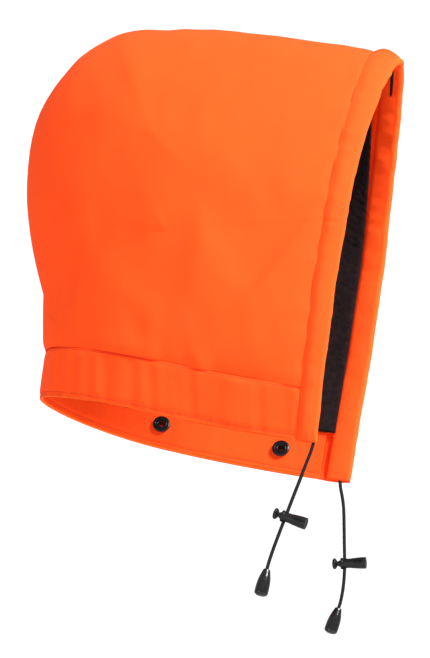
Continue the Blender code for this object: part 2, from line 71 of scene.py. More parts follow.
def makeStudio():
    scene = bpy.context.scene
    scene.view_settings.view_transform = "Standard"  # the cloth's colour is past what a film curve keeps
    world = bpy.data.worlds.new("studioSky")
    scene.world = world
    world.use_nodes = True
    nodes, links = world.node_tree.nodes, world.node_tree.links
    sky, backdrop, mixed, ray = (nodes["Background"], nodes.new("ShaderNodeBackground"),
                                 nodes.new("ShaderNodeMixShader"), nodes.new("ShaderNodeLightPath"))
    for background, strength in ((sky, studio["skyStrength"]), (backdrop, studio["backdropStrength"])):
        background.inputs["Color"].default_value = (1, 1, 1, 1)
        background.inputs["Strength"].default_value = strength
    links.new(ray.outputs["Is Camera Ray"], mixed.inputs[0])
    links.new(sky.outputs[0], mixed.inputs[1])
    links.new(backdrop.outputs[0], mixed.inputs[2])
    links.new(mixed.outputs[0], nodes["World Output"].inputs["Surface"])
    half = studio["floorSize"] / 2
    corners = [(x * half, y * half, studio["floorHeight"]) for x, y in ((-1, -1), (1, -1), (1, 1), (-1, 1))]
    mesh = bpy.data.meshes.new("floor")
    mesh.from_pydata(corners, [], [(0, 1, 2, 3)])
    floor = bpy.data.objects.new("floor", mesh)
    scene.collection.objects.link(floor)
    paint = bpy.data.materials.new("floorPaint")
    paint.use_nodes = True
    shader = paint.node_tree.nodes["Principled BSDF"]
    shader.inputs["Base Color"].default_value = studio["floorColour"]
    shader.inputs["Roughness"].default_value = studio["floorRoughness"]
    mesh.materials.append(paint)
    for name in ("key", "fill"):
        light = bpy.data.lights.new(name, "AREA")
        light.energy = studio[name]["power"]
        light.size = studio[name]["size"]
        lamp = bpy.data.objects.new(name, light)
        lamp.location = studio[name]["place"]
        toHood = Vector(studio["lampsAimAt"]) - lamp.location
        lamp.rotation_mode = "QUATERNION"
        lamp.rotation_quaternion = toHood.to_track_quat("-Z", "Y")
        scene.collection.objects.link(lamp)


makeCamera()
makeStudio()
print("camera, floor and lights are up")

# ---- the hood's surface, as in its solids: a spot is (y, z) in side view

hoodShape = {
    "crownHeight": 0.358, "backReach": 0.1345, "browReach": 0.186, "browHeight": 0.317,
    "chinReach": 0.125, "napeReach": 0.125, "napeTuck": 0.005, "neckDrop": 0.034, "neckSag": 0.0055,
    "neckHalfWidth": 0.063, "faceHalfWidth": 0.080, "templeHalfWidth": 0.095,
    "earRise": 0.160, "templeDepth": 0.140, "napeRoll": 0.100, "crownRoll": 0.165,
    "faceRoundness": 1.5, "crownRoundness": 1.9, "faceBow": 0.25, "thickness": 0.0077,
    "casingWidth": 0.021, "casingLean": 0.17, "browLean": 0.43, "bandHeight": 0.043,
    "seamSlack": 0.0002, "seamGap": 0.0004,
}
hs = hoodShape


def smoothCurve(points, steps):
    # a curve through the points, each stretch of it a cubic of so many steps
    points = np.array(points, float)
    earlier = np.vstack([points[:1], points[:-1]])
    later = np.vstack([points[1:], points[-1:]])
    tangents = later - earlier
    tangents /= np.linalg.norm(tangents, axis=1)[:, None]
    curve = [points[:1]]
    t = (np.arange(1, steps + 1) / steps)[:, None]
    for i in range(len(points) - 1):
        start, end = points[i], points[i + 1]
        reach = np.linalg.norm(end - start) / 3
        first, second = start + tangents[i] * reach, end - tangents[i + 1] * reach
        curve.append((1 - t)**3 * start + 3 * (1 - t)**2 * t * first + 3 * (1 - t) * t**2 * second
                     + t**3 * end)
    return np.vstack(curve)


def lengthsAlong(curve):
    return np.concatenate([[0], np.cumsum(np.linalg.norm(np.diff(curve, axis=0), axis=1))])


def alongCurve(curve, distances):
    at = lengthsAlong(curve)
    return np.stack([np.interp(distances, at, curve[:, k]) for k in range(curve.shape[1])], axis=-1)


def evenly(curve, spacing):
    length = lengthsAlong(curve)[-1]
    return alongCurve(curve, np.linspace(0, length, max(round(length / spacing), 1) + 1))


def spotOf(y, z):
    y, z = np.broadcast_arrays(y, z)
    return np.stack([y, z], axis=-1)


def neckline(y):
    share = np.where(y > 0, y / hs["napeReach"], y / hs["chinReach"])
    return hs["neckDrop"] * share - hs["neckSag"] * (1 - np.minimum(share * share, 1))


def faceEdge(rise):
    lean = rise * (1 - hs["faceBow"] * (1 - rise))
    y = -hs["chinReach"] - (hs["browReach"] - hs["chinReach"]) * lean
    return spotOf(y, -hs["neckDrop"] + (hs["browHeight"] + hs["neckDrop"]) * rise)


def casingSeam(rise):
    lean = hs["casingLean"] + (hs["browLean"] - hs["casingLean"]) * rise**4
    return faceEdge(rise) + hs["casingWidth"] * spotOf(1.0, lean)


def centreSeam():
    napeTop = float(neckline(np.array(hs["napeReach"] - hs["napeTuck"]))) + hs["bandHeight"]
    rise = hs["crownHeight"] - napeTop
    browSeam = casingSeam(np.array(1.0))
    fall = hs["crownHeight"] - browSeam[1]
    curve = smoothCurve([
        (hs["napeReach"] - hs["napeTuck"], napeTop),
        (hs["backReach"], napeTop + 0.43 * rise),
        (0.90 * hs["backReach"], napeTop + 0.76 * rise),
        (0.45 * hs["backReach"], napeTop + 0.977 * rise),
        (0.10 * hs["backReach"], hs["crownHeight"]),
        (0.48 * browSeam[0], hs["crownHeight"] - 0.38 * fall),
        browSeam, faceEdge(np.array(1.0)),
    ], 8)
    return np.vstack([[(hs["napeReach"], hs["neckDrop"])], curve])


seamLine = centreSeam()
napeSeamAt = lengthsAlong(seamLine)[1]
browSeamAt = lengthsAlong(seamLine)[-9]


def seamDistance(spots):
    nearest = np.full(spots.shape[:-1], np.inf)
    for start, end in zip(seamLine, seamLine[1:]):
        way = end - start
        share = np.clip(((spots - start) @ way) / (way @ way), 0, 1)
        nearest = np.minimum(nearest, np.linalg.norm(start + share[..., None] * way - spots, axis=-1))
    return nearest


def ease(share):
    return np.sin(math.pi / 2 * np.clip(share, 0, 1))


def smoothStep(share):
    share = np.clip(share, 0, 1)
    return share * share * (3 - 2 * share)


def halfWidth(spots):
    y, z = spots[..., 0], spots[..., 1]
    rise = np.clip((z + hs["neckDrop"]) / (hs["browHeight"] + hs["neckDrop"]), 0, 1)
    front = ease((y - faceEdge(rise)[..., 0]) / hs["templeDepth"])
    lift = ease((z - neckline(y)) / hs["earRise"])
    full = hs["faceHalfWidth"] + (hs["templeHalfWidth"] - hs["faceHalfWidth"]) * front
    width = hs["neckHalfWidth"] + (full - hs["neckHalfWidth"]) * lift
    roll = hs["napeRoll"] + (hs["crownRoll"] - hs["napeRoll"]) * lift
    roundness = hs["faceRoundness"] + (hs["crownRoundness"] - hs["faceRoundness"]) * front
    leftOver = 1 - np.minimum(np.maximum(seamDistance(spots) - hs["seamSlack"], 0) / roll, 1)
    return width * (1 - leftOver**roundness)**(1 / roundness)


def skin(side, spots):
    return np.stack([side * halfWidth(spots), spots[..., 0], spots[..., 1]], axis=-1)


def skinNormal(side, spot):
    step = 0.0010  # the slope is taken over 2 mm
    alongY = halfWidth(spot + (step, 0)) - halfWidth(spot - (step, 0))
    alongZ = halfWidth(spot + (0, step)) - halfWidth(spot - (0, step))
    return Vector((side * 2 * step, -alongY, -alongZ)).normalized()


def bandTopRise():
    low, high = 0.0, 0.5
    for _ in range(30):
        middle = (low + high) / 2
        y, z = casingSeam(np.array(middle))
        low, high = (low, middle) if z - neckline(y) - hs["bandHeight"] > 0 else (middle, high)
    return (low + high) / 2


bandTop = bandTopRise()


def bandSpot(share, across):
    front = casingSeam(bandTop * share)[..., 0] + hs["seamGap"]
    back = hs["napeReach"] - hs["napeTuck"] * share
    y = front + (back - front) * across
    return spotOf(y, neckline(y) + hs["bandHeight"] * share)


def aroundFace(share):
    # side and rise on the face edge, from the right mouth at 0 over the brow to the left mouth at 1
    return np.where(share < 0.5, -1, 1), 1 - np.abs(2 * share - 1)**1.8


def casingFrame(share):
    # the casing's seam, its ways forward and outward, and its width, round the face
    def edgeAt(where):
        side, rise = aroundFace(where)
        return skin(side, faceEdge(rise))

    step = 0.02
    side, rise = aroundFace(share)
    tangent = edgeAt(np.minimum(share + step, 1)) - edgeAt(np.maximum(share - step, 0))
    seamPoint = skin(side, casingSeam(rise))
    forward = edgeAt(share) - seamPoint
    width = np.linalg.norm(forward, axis=-1)
    forward /= width[..., None]
    outward = np.cross(forward, tangent)
    outward /= np.linalg.norm(outward, axis=-1)[..., None]
    return seamPoint, forward, outward, width


# ---- helpers: noise, meshes, materials


def noise1(x, seed):
    table = np.random.RandomState(seed).uniform(-1, 1, 512)
    cell = np.floor(x).astype(int)
    t = smoothStep(x - cell)
    return table[cell % 512] * (1 - t) + table[(cell + 1) % 512] * t


def noise2(x, y, seed):
    table = np.random.RandomState(seed).uniform(-1, 1, (64, 64))
    i, j = np.floor(x).astype(int), np.floor(y).astype(int)
    s, t = smoothStep(x - i), smoothStep(y - j)
    i, j, k, m = i % 64, j % 64, (i + 1) % 64, (j + 1) % 64
    return (table[i, j] * (1 - s) * (1 - t) + table[k, j] * s * (1 - t)
            + table[i, m] * (1 - s) * t + table[k, m] * s * t)


def gridNormals(points):
    normals = np.cross(np.gradient(points, axis=0), np.gradient(points, axis=1))
    return normals / np.maximum(np.linalg.norm(normals, axis=-1), 1e-15)[..., None]


def turnedOut(normals, outward):
    # the normals turned to the side that outward is on
    return normals if (normals * outward).sum() > 0 else -normals


def clothUV(points):
    along = np.linalg.norm(np.diff(points, axis=0), axis=-1)
    up = np.linalg.norm(np.diff(points, axis=1), axis=-1)
    u = np.concatenate([np.zeros((1, points.shape[1])), np.cumsum(along, axis=0)])
    v = np.concatenate([np.zeros((points.shape[0], 1)), np.cumsum(up, axis=1)], axis=1)
    return np.stack([u - u.mean(0), v], axis=-1)


def addObject(name, mesh, material=None):
    made = bpy.data.objects.new(name, mesh)
    bpy.context.scene.collection.objects.link(made)
    if material is not None:
        mesh.materials.clear()
        mesh.materials.append(material)
    return made


def gridObject(name, points, material, wall=0.0, outward=None, uv=None, edge=None, closed=False, holes=None):
    # a cloth grid with its wall behind it; edge is the share of painted highlight on folded edges, holes the cells
    # left out
    rows, columns = points.shape[:2]
    count = rows * columns
    index = np.arange(count).reshape(rows, columns)
    if closed:
        index = np.concatenate([index, index[:, :1]], axis=1)
    quads = np.stack([index[:-1, :-1], index[1:, :-1], index[1:, 1:], index[:-1, 1:]], axis=-1)
    if outward is not None and (gridNormals(points) * outward).sum() < 0:
        quads = quads[..., ::-1]
    quads = quads.reshape(-1, 4)
    if holes is not None:
        quads = quads[~holes.reshape(-1)]
    uv = (clothUV(points) if uv is None else uv).reshape(-1, 2)
    edge = np.zeros(count) if edge is None else np.broadcast_to(edge, (rows, columns)).reshape(-1)
    vertices = points.reshape(-1, 3)
    if wall:
        ways = np.concatenate([quads[:, [i, (i + 1) % 4]] for i in range(4)])
        rims = ways[~np.isin(ways[:, 0] * count + ways[:, 1], ways[:, 1] * count + ways[:, 0])]
        rim = np.stack([rims[:, 1], rims[:, 0], rims[:, 0] + count, rims[:, 1] + count], axis=-1)
        quads = np.concatenate([quads, quads[:, ::-1] + count, rim])
        vertices = np.concatenate([vertices, (points - wall * outward).reshape(-1, 3)])
        uv, edge = np.concatenate([uv, uv]), np.concatenate([edge, edge])
    mesh = bpy.data.meshes.new(name)
    mesh.from_pydata(vertices.tolist(), [], quads.tolist())
    corners = np.empty(len(mesh.loops), int)
    mesh.loops.foreach_get("vertex_index", corners)
    layer = mesh.uv_layers.new(name="cloth")
    layer.data.foreach_set("uv", uv[corners].astype(np.float32).ravel())
    fold = mesh.attributes.new("paintedFoldHighlight", "FLOAT", "POINT")
    fold.data.foreach_set("value", edge.astype(np.float32))
    mesh.polygons.foreach_set("use_smooth", [True] * len(mesh.polygons))
    mesh.update()
    made = addObject(name, mesh, material)
    loose = bmesh.new()
    loose.from_mesh(mesh)
    bmesh.ops.delete(loose, geom=[v for v in loose.verts if not v.link_faces], context="VERTS")
    loose.to_mesh(mesh)
    loose.free()
    return made


def applied(made):
    # the object with its modifiers made real
    depsgraph = bpy.context.evaluated_depsgraph_get()
    mesh = bpy.data.meshes.new_from_object(made.evaluated_get(depsgraph))
    made.modifiers.clear()
    old = made.data
    mesh.name = made.name
    made.data = mesh
    bpy.data.meshes.remove(old)


def shaderParts(name):
    material = bpy.data.materials.new(name)
    material.use_nodes = True
    nodes = material.node_tree.nodes
    return material, nodes, material.node_tree.links, nodes["Principled BSDF"]


def groupSocket(tree, name, kind, inOut="INPUT", value=None):
    made = tree.interface.new_socket(name, in_out=inOut, socket_type="NodeSocket" + kind)
    if value is not None:
        made.default_value = value
    return made


def mathNode(nodes, links, operation, *values):
    node = nodes.new("ShaderNodeMath")
    node.operation = operation
    for socket, value in zip(node.inputs, values):
        if isinstance(value, (int, float)):
            socket.default_value = value
        else:
            links.new(value, socket)
    return node.outputs[0]


def mixColour(nodes, links, factor, first, second):
    node = nodes.new("ShaderNodeMix")
    node.data_type = "RGBA"
    for socket, value in zip((node.inputs[0], node.inputs[6], node.inputs[7]), (factor, first, second)):
        if isinstance(value, (int, float)):
            socket.default_value = value
        elif isinstance(value, tuple):
            socket.default_value = (*value, 1)
        else:
            links.new(value, socket)
    return node.outputs[2]


def weaveGroup():
    # plain weave on a UV map in metres: puts out height and slub noise
    tree = bpy.data.node_groups.new("plainWeave", "ShaderNodeTree")
    groupSocket(tree, "Thread Pitch", "Float", value=0.0005)
    groupSocket(tree, "Height", "Float", "OUTPUT")
    groupSocket(tree, "Slub", "Float", "OUTPUT")
    nodes, links = tree.nodes, tree.links
    given, out = nodes.new("NodeGroupInput"), nodes.new("NodeGroupOutput")
    coordinate = nodes.new("ShaderNodeTexCoord")
    parts = nodes.new("ShaderNodeSeparateXYZ")
    links.new(coordinate.outputs["UV"], parts.inputs[0])
    rate = mathNode(nodes, links, "DIVIDE", math.pi, given.outputs["Thread Pitch"])
    u = mathNode(nodes, links, "MULTIPLY", parts.outputs["X"], rate)
    v = mathNode(nodes, links, "MULTIPLY", parts.outputs["Y"], rate)
    warp = mathNode(nodes, links, "MULTIPLY", mathNode(nodes, links, "SINE", u),
                    mathNode(nodes, links, "SINE", v))
    over = mathNode(nodes, links, "ABSOLUTE", warp)
    links.new(over, out.inputs["Height"])
    slub = nodes.new("ShaderNodeTexNoise")
    slub.inputs["Scale"].default_value = 420
    slub.inputs["Detail"].default_value = 3
    stretch = nodes.new("ShaderNodeMapping")
    stretch.inputs["Scale"].default_value = (0.25, 1.6, 1)
    links.new(coordinate.outputs["UV"], stretch.inputs["Vector"])
    links.new(stretch.outputs[0], slub.inputs["Vector"])
    links.new(slub.outputs[0], out.inputs["Slub"])
    return tree


def grainGroup():
    # fine moulding grain and soft handling marks
    tree = bpy.data.node_groups.new("mouldGrain", "ShaderNodeTree")
    groupSocket(tree, "Grain Scale", "Float", value=900.0)
    groupSocket(tree, "Grain", "Float", "OUTPUT")
    groupSocket(tree, "Scuff", "Float", "OUTPUT")
    nodes, links = tree.nodes, tree.links
    given, out = nodes.new("NodeGroupInput"), nodes.new("NodeGroupOutput")
    coordinate = nodes.new("ShaderNodeTexCoord")
    for name, scale, detail in (("Grain", None, 4), ("Scuff", 160, 5)):
        texture = nodes.new("ShaderNodeTexNoise")
        texture.inputs["Detail"].default_value = detail
        links.new(coordinate.outputs["Object"], texture.inputs["Vector"])
        if scale is None:
            links.new(given.outputs["Grain Scale"], texture.inputs["Scale"])
        else:
            texture.inputs["Scale"].default_value = scale
        links.new(texture.outputs[0], out.inputs[name])
    return tree


plainWeave = weaveGroup()
mouldGrain = grainGroup()


def placeGroup(nodes, tree, **values):
    node = nodes.new("ShaderNodeGroup")
    node.node_tree = tree
    for name, value in values.items():
        node.inputs[name.replace("_", " ")].default_value = value
    return node


def bumpFrom(nodes, links, height, distance):
    bump = nodes.new("ShaderNodeBump")
    bump.inputs["Strength"].default_value = 1
    bump.inputs["Distance"].default_value = distance
    links.new(height, bump.inputs["Height"])
    return bump.outputs[0]


def setLook(shader, **values):
    # plain values on the shader's own sockets, a colour as three numbers
    for name, value in values.items():
        socket = shader.inputs[name.replace("_", " ")]
        socket.default_value = (*value, 1) if isinstance(value, tuple) else value


clothColours = {
    # edge is the painted highlight colour, laid on the thread crowns and along folded edges
    "base": (0.93, 0.086, 0.0085), "shade": (0.88, 0.063, 0.0055), "edge": (1.0, 0.20, 0.022),
    "weavePitch": 0.00042, "weaveDepth": 0.00007, "roughness": 0.80, "specular": 0.14,
    "sheen": 0.05, "sheenRoughness": 0.45, "sheenTint": (1.0, 0.50, 0.22),
    "cloudScale": 14, "threadHighlight": 0.10, "speckle": 0.30,
    "paintedGlow": (1.0, 0.030, 0.002), "paintedGlowStrength": 0.26,  # painted glow: a constant emission keeps shaded cloth bright, standing in for the dye's fluorescence
}


def orangeCloth(name, **changes):
    look = {**clothColours, **changes}
    material, nodes, links, shader = shaderParts(name)
    weave = placeGroup(nodes, plainWeave, Thread_Pitch=look["weavePitch"])
    cloudy = nodes.new("ShaderNodeTexNoise")
    cloudy.inputs["Scale"].default_value = look["cloudScale"]
    cloudy.inputs["Detail"].default_value = 4
    coordinate = nodes.new("ShaderNodeTexCoord")
    links.new(coordinate.outputs["Object"], cloudy.inputs["Vector"])
    toned = mixColour(nodes, links, cloudy.outputs[0], look["shade"], look["base"])
    # painted highlight: the thread crowns are lightened towards the edge colour
    crownHighlight = mathNode(nodes, links, "MULTIPLY_ADD", weave.outputs["Height"], look["threadHighlight"], 0.0)
    threaded = mixColour(nodes, links, crownHighlight, toned, look["edge"])
    speckle = mathNode(nodes, links, "MULTIPLY_ADD", weave.outputs["Slub"], look["speckle"], -0.06)
    speckled = mixColour(nodes, links, speckle, threaded, look["shade"])
    # painted highlight: folded edges are lightened towards the edge colour
    fold = nodes.new("ShaderNodeAttribute")
    fold.attribute_name = "paintedFoldHighlight"
    links.new(mixColour(nodes, links, fold.outputs["Fac"], speckled, look["edge"]), shader.inputs["Base Color"])
    links.new(mathNode(nodes, links, "MULTIPLY_ADD", weave.outputs["Slub"], 0.14, look["roughness"] - 0.07),
              shader.inputs["Roughness"])
    # the emission is the painted glow that lifts the shaded cloth
    setLook(shader, Sheen_Weight=look["sheen"], Sheen_Roughness=look["sheenRoughness"],
            Sheen_Tint=look["sheenTint"], Specular_IOR_Level=look["specular"], Emission_Color=look["paintedGlow"],
            Emission_Strength=look["paintedGlowStrength"])
    height = mathNode(nodes, links, "MULTIPLY_ADD", weave.outputs["Slub"], 0.6, weave.outputs["Height"])
    links.new(bumpFrom(nodes, links, height, look["weaveDepth"]), shader.inputs["Normal"])
    return material


fleeceColours = {"deep": (0.0045, 0.0022, 0.0026), "tips": (0.021, 0.0105, 0.0115)}
plasticColours = {"plain": (0.0042, 0.0045, 0.0050), "worn": 2.2}  # worn is how many times lighter the scuffs are
# the cord's top colour is a painted highlight for the yarn crowns
cordColours = {"deep": (0.0042, 0.0038, 0.0038), "top": (0.015, 0.0135, 0.013)}
steelColours = {"dull": (0.42, 0.42, 0.43), "bright": (0.66, 0.66, 0.67)}


def fleeceMaterial():
    material, nodes, links, shader = shaderParts("charcoalFleece")
    coordinate = nodes.new("ShaderNodeTexCoord")
    pile, clumps = nodes.new("ShaderNodeTexNoise"), nodes.new("ShaderNodeTexNoise")
    for texture, scale, detail in ((pile, 1500, 3), (clumps, 190, 5)):
        texture.inputs["Scale"].default_value = scale
        texture.inputs["Detail"].default_value = detail
        links.new(coordinate.outputs["Object"], texture.inputs["Vector"])
    mixed = mathNode(nodes, links, "MULTIPLY", pile.outputs[0], clumps.outputs[0])
    tips = mathNode(nodes, links, "MULTIPLY_ADD", mixed, 3.2, -0.35)
    links.new(mixColour(nodes, links, tips, fleeceColours["deep"], fleeceColours["tips"]),
              shader.inputs["Base Color"])
    setLook(shader, Roughness=0.95, Sheen_Weight=0.08, Sheen_Roughness=0.6, Sheen_Tint=(0.5, 0.32, 0.32),
            Specular_IOR_Level=0.1)
    height = mathNode(nodes, links, "MULTIPLY_ADD", pile.outputs[0], 0.5, clumps.outputs[0])
    links.new(bumpFrom(nodes, links, height, 0.0012), shader.inputs["Normal"])
    return material


def plasticMaterial(name, roughness, coat=0.0, grain=0.00002):
    material, nodes, links, shader = shaderParts(name)
    marks = placeGroup(nodes, mouldGrain)
    worn = mathNode(nodes, links, "MULTIPLY_ADD", marks.outputs["Scuff"], 1.6, -0.55)
    plain = plasticColours["plain"]
    lighter = tuple(channel * plasticColours["worn"] for channel in plain)
    links.new(mixColour(nodes, links, worn, plain, lighter), shader.inputs["Base Color"])
    links.new(mathNode(nodes, links, "MULTIPLY_ADD", marks.outputs["Scuff"], 0.16, roughness - 0.08),
              shader.inputs["Roughness"])
    setLook(shader, Specular_IOR_Level=0.32, Coat_Weight=coat, Coat_Roughness=0.12)
    links.new(bumpFrom(nodes, links, marks.outputs["Grain"], grain), shader.inputs["Normal"])
    return material


def steelMaterial():
    material, nodes, links, shader = shaderParts("springSteel")
    marks = placeGroup(nodes, mouldGrain, Grain_Scale=1600.0)
    links.new(mixColour(nodes, links, marks.outputs["Scuff"], steelColours["dull"], steelColours["bright"]),
              shader.inputs["Base Color"])
    setLook(shader, Metallic=1)
    links.new(mathNode(nodes, links, "MULTIPLY_ADD", marks.outputs["Grain"], 0.2, 0.22),
              shader.inputs["Roughness"])
    return material


def cordMaterial():
    # the braid's shape is in the mesh; this gives the yarns their fine fibres and a painted highlight on their crowns
    material, nodes, links, shader = shaderParts("blackBraid")
    weave = placeGroup(nodes, plainWeave, Thread_Pitch=0.00022)
    # painted highlight: the yarn crowns, where slubbed, are lightened towards the top colour
    yarnHighlight = mathNode(nodes, links, "MULTIPLY", weave.outputs["Height"], weave.outputs["Slub"])
    links.new(mixColour(nodes, links, yarnHighlight, cordColours["deep"], cordColours["top"]), shader.inputs["Base Color"])
    setLook(shader, Roughness=0.72, Specular_IOR_Level=0.25)
    links.new(bumpFrom(nodes, links, weave.outputs["Height"], 0.00003), shader.inputs["Normal"])
    return material


def threadMaterial(name, colour):
    material, nodes, links, shader = shaderParts(name)
    marks = placeGroup(nodes, mouldGrain, Grain_Scale=2600.0)
    darker = tuple(channel * 0.5 for channel in colour)
    links.new(mixColour(nodes, links, marks.outputs["Grain"], darker, colour), shader.inputs["Base Color"])
    setLook(shader, Roughness=0.6)
    links.new(bumpFrom(nodes, links, marks.outputs["Grain"], 0.00003), shader.inputs["Normal"])
    return material


shellCloth = orangeCloth("orangeShellCloth")
casingCloth = orangeCloth("orangeCasingCloth")
bandCloth = orangeCloth("orangeBandCloth", base=(0.93, 0.080, 0.0080))
fleece = fleeceMaterial()
braid = cordMaterial()
lockPlastic = plasticMaterial("lockPlastic", 0.36)
capPlastic = plasticMaterial("capPlastic", 0.22, coat=0.25, grain=0.00001)
studPlastic = plasticMaterial("studPlastic", 0.30, grain=0.000015)
steel = steelMaterial()
thread = threadMaterial("redThread", (0.42, 0.012, 0.004))
print("materials are made")

# ---- drawcord ends

cordSizes = {
    "diameter": 0.0028, "tailLength": 0.055, "margin": 0.000154, "gap": 0.0003,
    # how far each mouth is behind the casing's front edge; then each free end's points from its mouth
    "setback": {"Right": 0.0075, "Left": 0.0042},
    "route": {
        "Right": [(0, 0, 0), (0.0005, 0.0022, -0.0068), (0.0008, 0.0056, -0.0150), (0.0010, 0.0112, -0.0290),
                  (0.0010, 0.0168, -0.0430), (0.0010, 0.0224, -0.0572), (0.0010, 0.0280, -0.0714),
                  (0.0010, 0.0332, -0.0850), (0.0010, 0.0372, -0.0965), (0.0010, 0.0396, -0.1055)],
        "Left": [(0, 0, 0), (-0.0006, -0.0006, -0.0068), (-0.0012, -0.0020, -0.0145),
                 (-0.0015, -0.0030, -0.0240), (-0.0015, -0.0032, -0.0400), (-0.0015, -0.0032, -0.0560),
                 (-0.0015, -0.0032, -0.0720), (-0.0015, -0.0027, -0.0830), (-0.0015, -0.0014, -0.0940),
                 (-0.0015, 0.0008, -0.1045), (-0.0015, 0.0036, -0.1125)],
    },
    "lockDrop": {"Right": 0.0600, "Left": 0.0715},
    "strands": 8, "braidPitch": 0.0052, "braidDepth": 0.00011, "around": 40, "along": 0.00034,
    "pathSpacing": 0.002,
}
cs = cordSizes


def casingPoint(share, setback, depth):
    seamPoint, forward, outward, width = casingFrame(share)
    return seamPoint + forward * (width - setback)[..., None] - outward * depth


def cordPlace(name, up):
    share = up if name == "Right" else 1 - up
    return casingPoint(np.array(share, float), cs["setback"][name], hs["thickness"] / 2)


def tailTop(name):
    mouth = cordPlace(name, 0)
    low, high = 0.0, 0.5
    for _ in range(30):
        middle = (low + high) / 2
        past = cordPlace(name, middle)[2] - mouth[2] > cs["tailLength"]
        low, high = (low, middle) if past else (middle, high)
    return cordPlace(name, (low + high) / 2)


def freeRoute(name):
    return smoothCurve(cordPlace(name, 0) + np.array(cs["route"][name]), 4)


def braidedTube(name, line, material):
    # a round braid: two sets of yarns wind opposite ways and pass over each other
    line = evenly(line, cs["along"])
    ways = np.gradient(line, axis=0)
    ways /= np.linalg.norm(ways, axis=1)[:, None]
    across = np.cross(ways, (1.0, 0.0, 0.0))
    across /= np.linalg.norm(across, axis=1)[:, None]
    other = np.cross(ways, across)
    turn = np.linspace(0, 2 * math.pi, cs["around"], endpoint=False)
    at = lengthsAlong(line)[:, None]
    wind = 2 * math.pi * at / cs["braidPitch"]
    strands = cs["strands"] / 2
    first, second = np.cos(strands * (turn + wind)), np.cos(strands * (turn - wind))
    radius = cs["diameter"] / 2 + cs["braidDepth"] * (np.maximum(first, second) - 0.55)
    points = (line[:, None] + radius[..., None] * (np.cos(turn)[None, :, None] * across[:, None]
                                                    + np.sin(turn)[None, :, None] * other[:, None]))
    uv = np.stack(np.broadcast_arrays(turn * cs["diameter"] / 2, at), axis=-1)
    made = gridObject(name, points, material, uv=uv, closed=True)
    closeEnds(made, cs["around"])
    return made


def closeEnds(made, around):
    shape = bmesh.new()
    shape.from_mesh(made.data)
    shape.verts.ensure_lookup_table()
    for ring in (range(around), range(len(shape.verts) - around, len(shape.verts))):
        shape.faces.new([shape.verts[i] for i in ring]).smooth = True
    bmesh.ops.recalc_face_normals(shape, faces=shape.faces)
    shape.to_mesh(made.data)
    shape.free()


def facingAlong(origin, forward, up):
    z = Vector(forward).normalized()
    x = Vector(up).cross(z).normalized()
    y = z.cross(x)
    return Matrix.Translation(Vector(origin)) @ Matrix((x, y, z)).transposed().to_4x4()


def lockMatrix(name):
    route = freeRoute(name)
    at = np.interp(cs["lockDrop"][name], route[0][2] - route[:, 2], lengthsAlong(route))
    point = alongCurve(route, np.array(at))
    way = Vector(alongCurve(route, np.array(at + 0.001)) - alongCurve(route, np.array(at - 0.001))).normalized()
    barrel = Vector((1, 0, 0)).cross(way)
    if barrel.y > 0:
        barrel.negate()
    return facingAlong(point, barrel, -way)


cordLines = {}
for name in sides:
    route = freeRoute(name)
    cordLines[name] = alongCurve(route, np.linspace(cs["margin"], lengthsAlong(route)[-1], 60))
    made = braidedTube("cordEnd" + name, cordLines[name], braid)
    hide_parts("drawcord_end_" + cadSide[name])
    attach(made, "drawcord_" + cadSide[name])
    mouth = cordPlace(name, 0)
    way = tailTop(name) - mouth
    way /= np.linalg.norm(way)
    tail = mouth + np.linspace(cs["margin"], cs["tailLength"], 20)[:, None] * way
    made = braidedTube("cordTail" + name, tail, braid)
    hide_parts("drawcord_tail_" + cadSide[name])
    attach(made, "drawcord_" + cadSide[name])
print("cords are laid")

# ---- turned plastic pieces


def rounded(profile, radius, steps=4):
    # a closed outline of (radius, height) points with its corners rounded, apart from those on the axis
    out = []
    for before, corner, after in zip([profile[-1]] + profile[:-1], profile, profile[1:] + profile[:1]):
        before, corner, after = (np.array(p, float) for p in (before, corner, after))
        toBefore, toAfter = before - corner, after - corner
        reach = min(radius, 0.45 * np.linalg.norm(toBefore), 0.45 * np.linalg.norm(toAfter))
        if corner[0] < 1e-9:
            out.append(tuple(corner))
            continue
        start = corner + toBefore / np.linalg.norm(toBefore) * reach
        end = corner + toAfter / np.linalg.norm(toAfter) * reach
        for step in range(steps + 1):
            t = step / steps
            out.append(tuple((1 - t)**2 * start + 2 * (1 - t) * t * corner + t**2 * end))
    return out


def turned(name, profile, steps, matrix, material):
    angles = np.linspace(0, 2 * math.pi, steps, endpoint=False)
    profile = np.array(profile)
    points = np.stack(np.broadcast_arrays(np.cos(angles)[:, None] * profile[:, 0],
                                          np.sin(angles)[:, None] * profile[:, 0], profile[:, 1]), axis=-1)
    mesh = bpy.data.meshes.new(name)
    rows, columns = points.shape[:2]
    index = np.arange(rows * columns).reshape(rows, columns)
    index = np.concatenate([index, index[:1]])
    index = np.concatenate([index, index[:, :1]], axis=1)
    quads = np.stack([index[:-1, :-1], index[1:, :-1], index[1:, 1:], index[:-1, 1:]], axis=-1)
    mesh.from_pydata(points.reshape(-1, 3).tolist(), [], quads.reshape(-1, 4).tolist())
    shape = bmesh.new()
    shape.from_mesh(mesh)
    bmesh.ops.remove_doubles(shape, verts=shape.verts, dist=1e-7)
    bmesh.ops.dissolve_degenerate(shape, edges=shape.edges, dist=1e-8)
    bmesh.ops.recalc_face_normals(shape, faces=shape.faces)
    bmesh.ops.transform(shape, matrix=matrix, verts=shape.verts)
    for face in shape.faces:
        face.smooth = True
    shape.to_mesh(mesh)
    shape.free()
    return addObject(name, mesh, material)


def cutAway(made, cutters):
    for cutter in cutters:
        knife = made.modifiers.new("cut", "BOOLEAN")
        knife.operation = "DIFFERENCE"
        knife.solver = "EXACT"
        knife.object = cutter
    applied(made)
    for cutter in cutters:
        mesh = cutter.data
        bpy.data.objects.remove(cutter)
        bpy.data.meshes.remove(mesh)


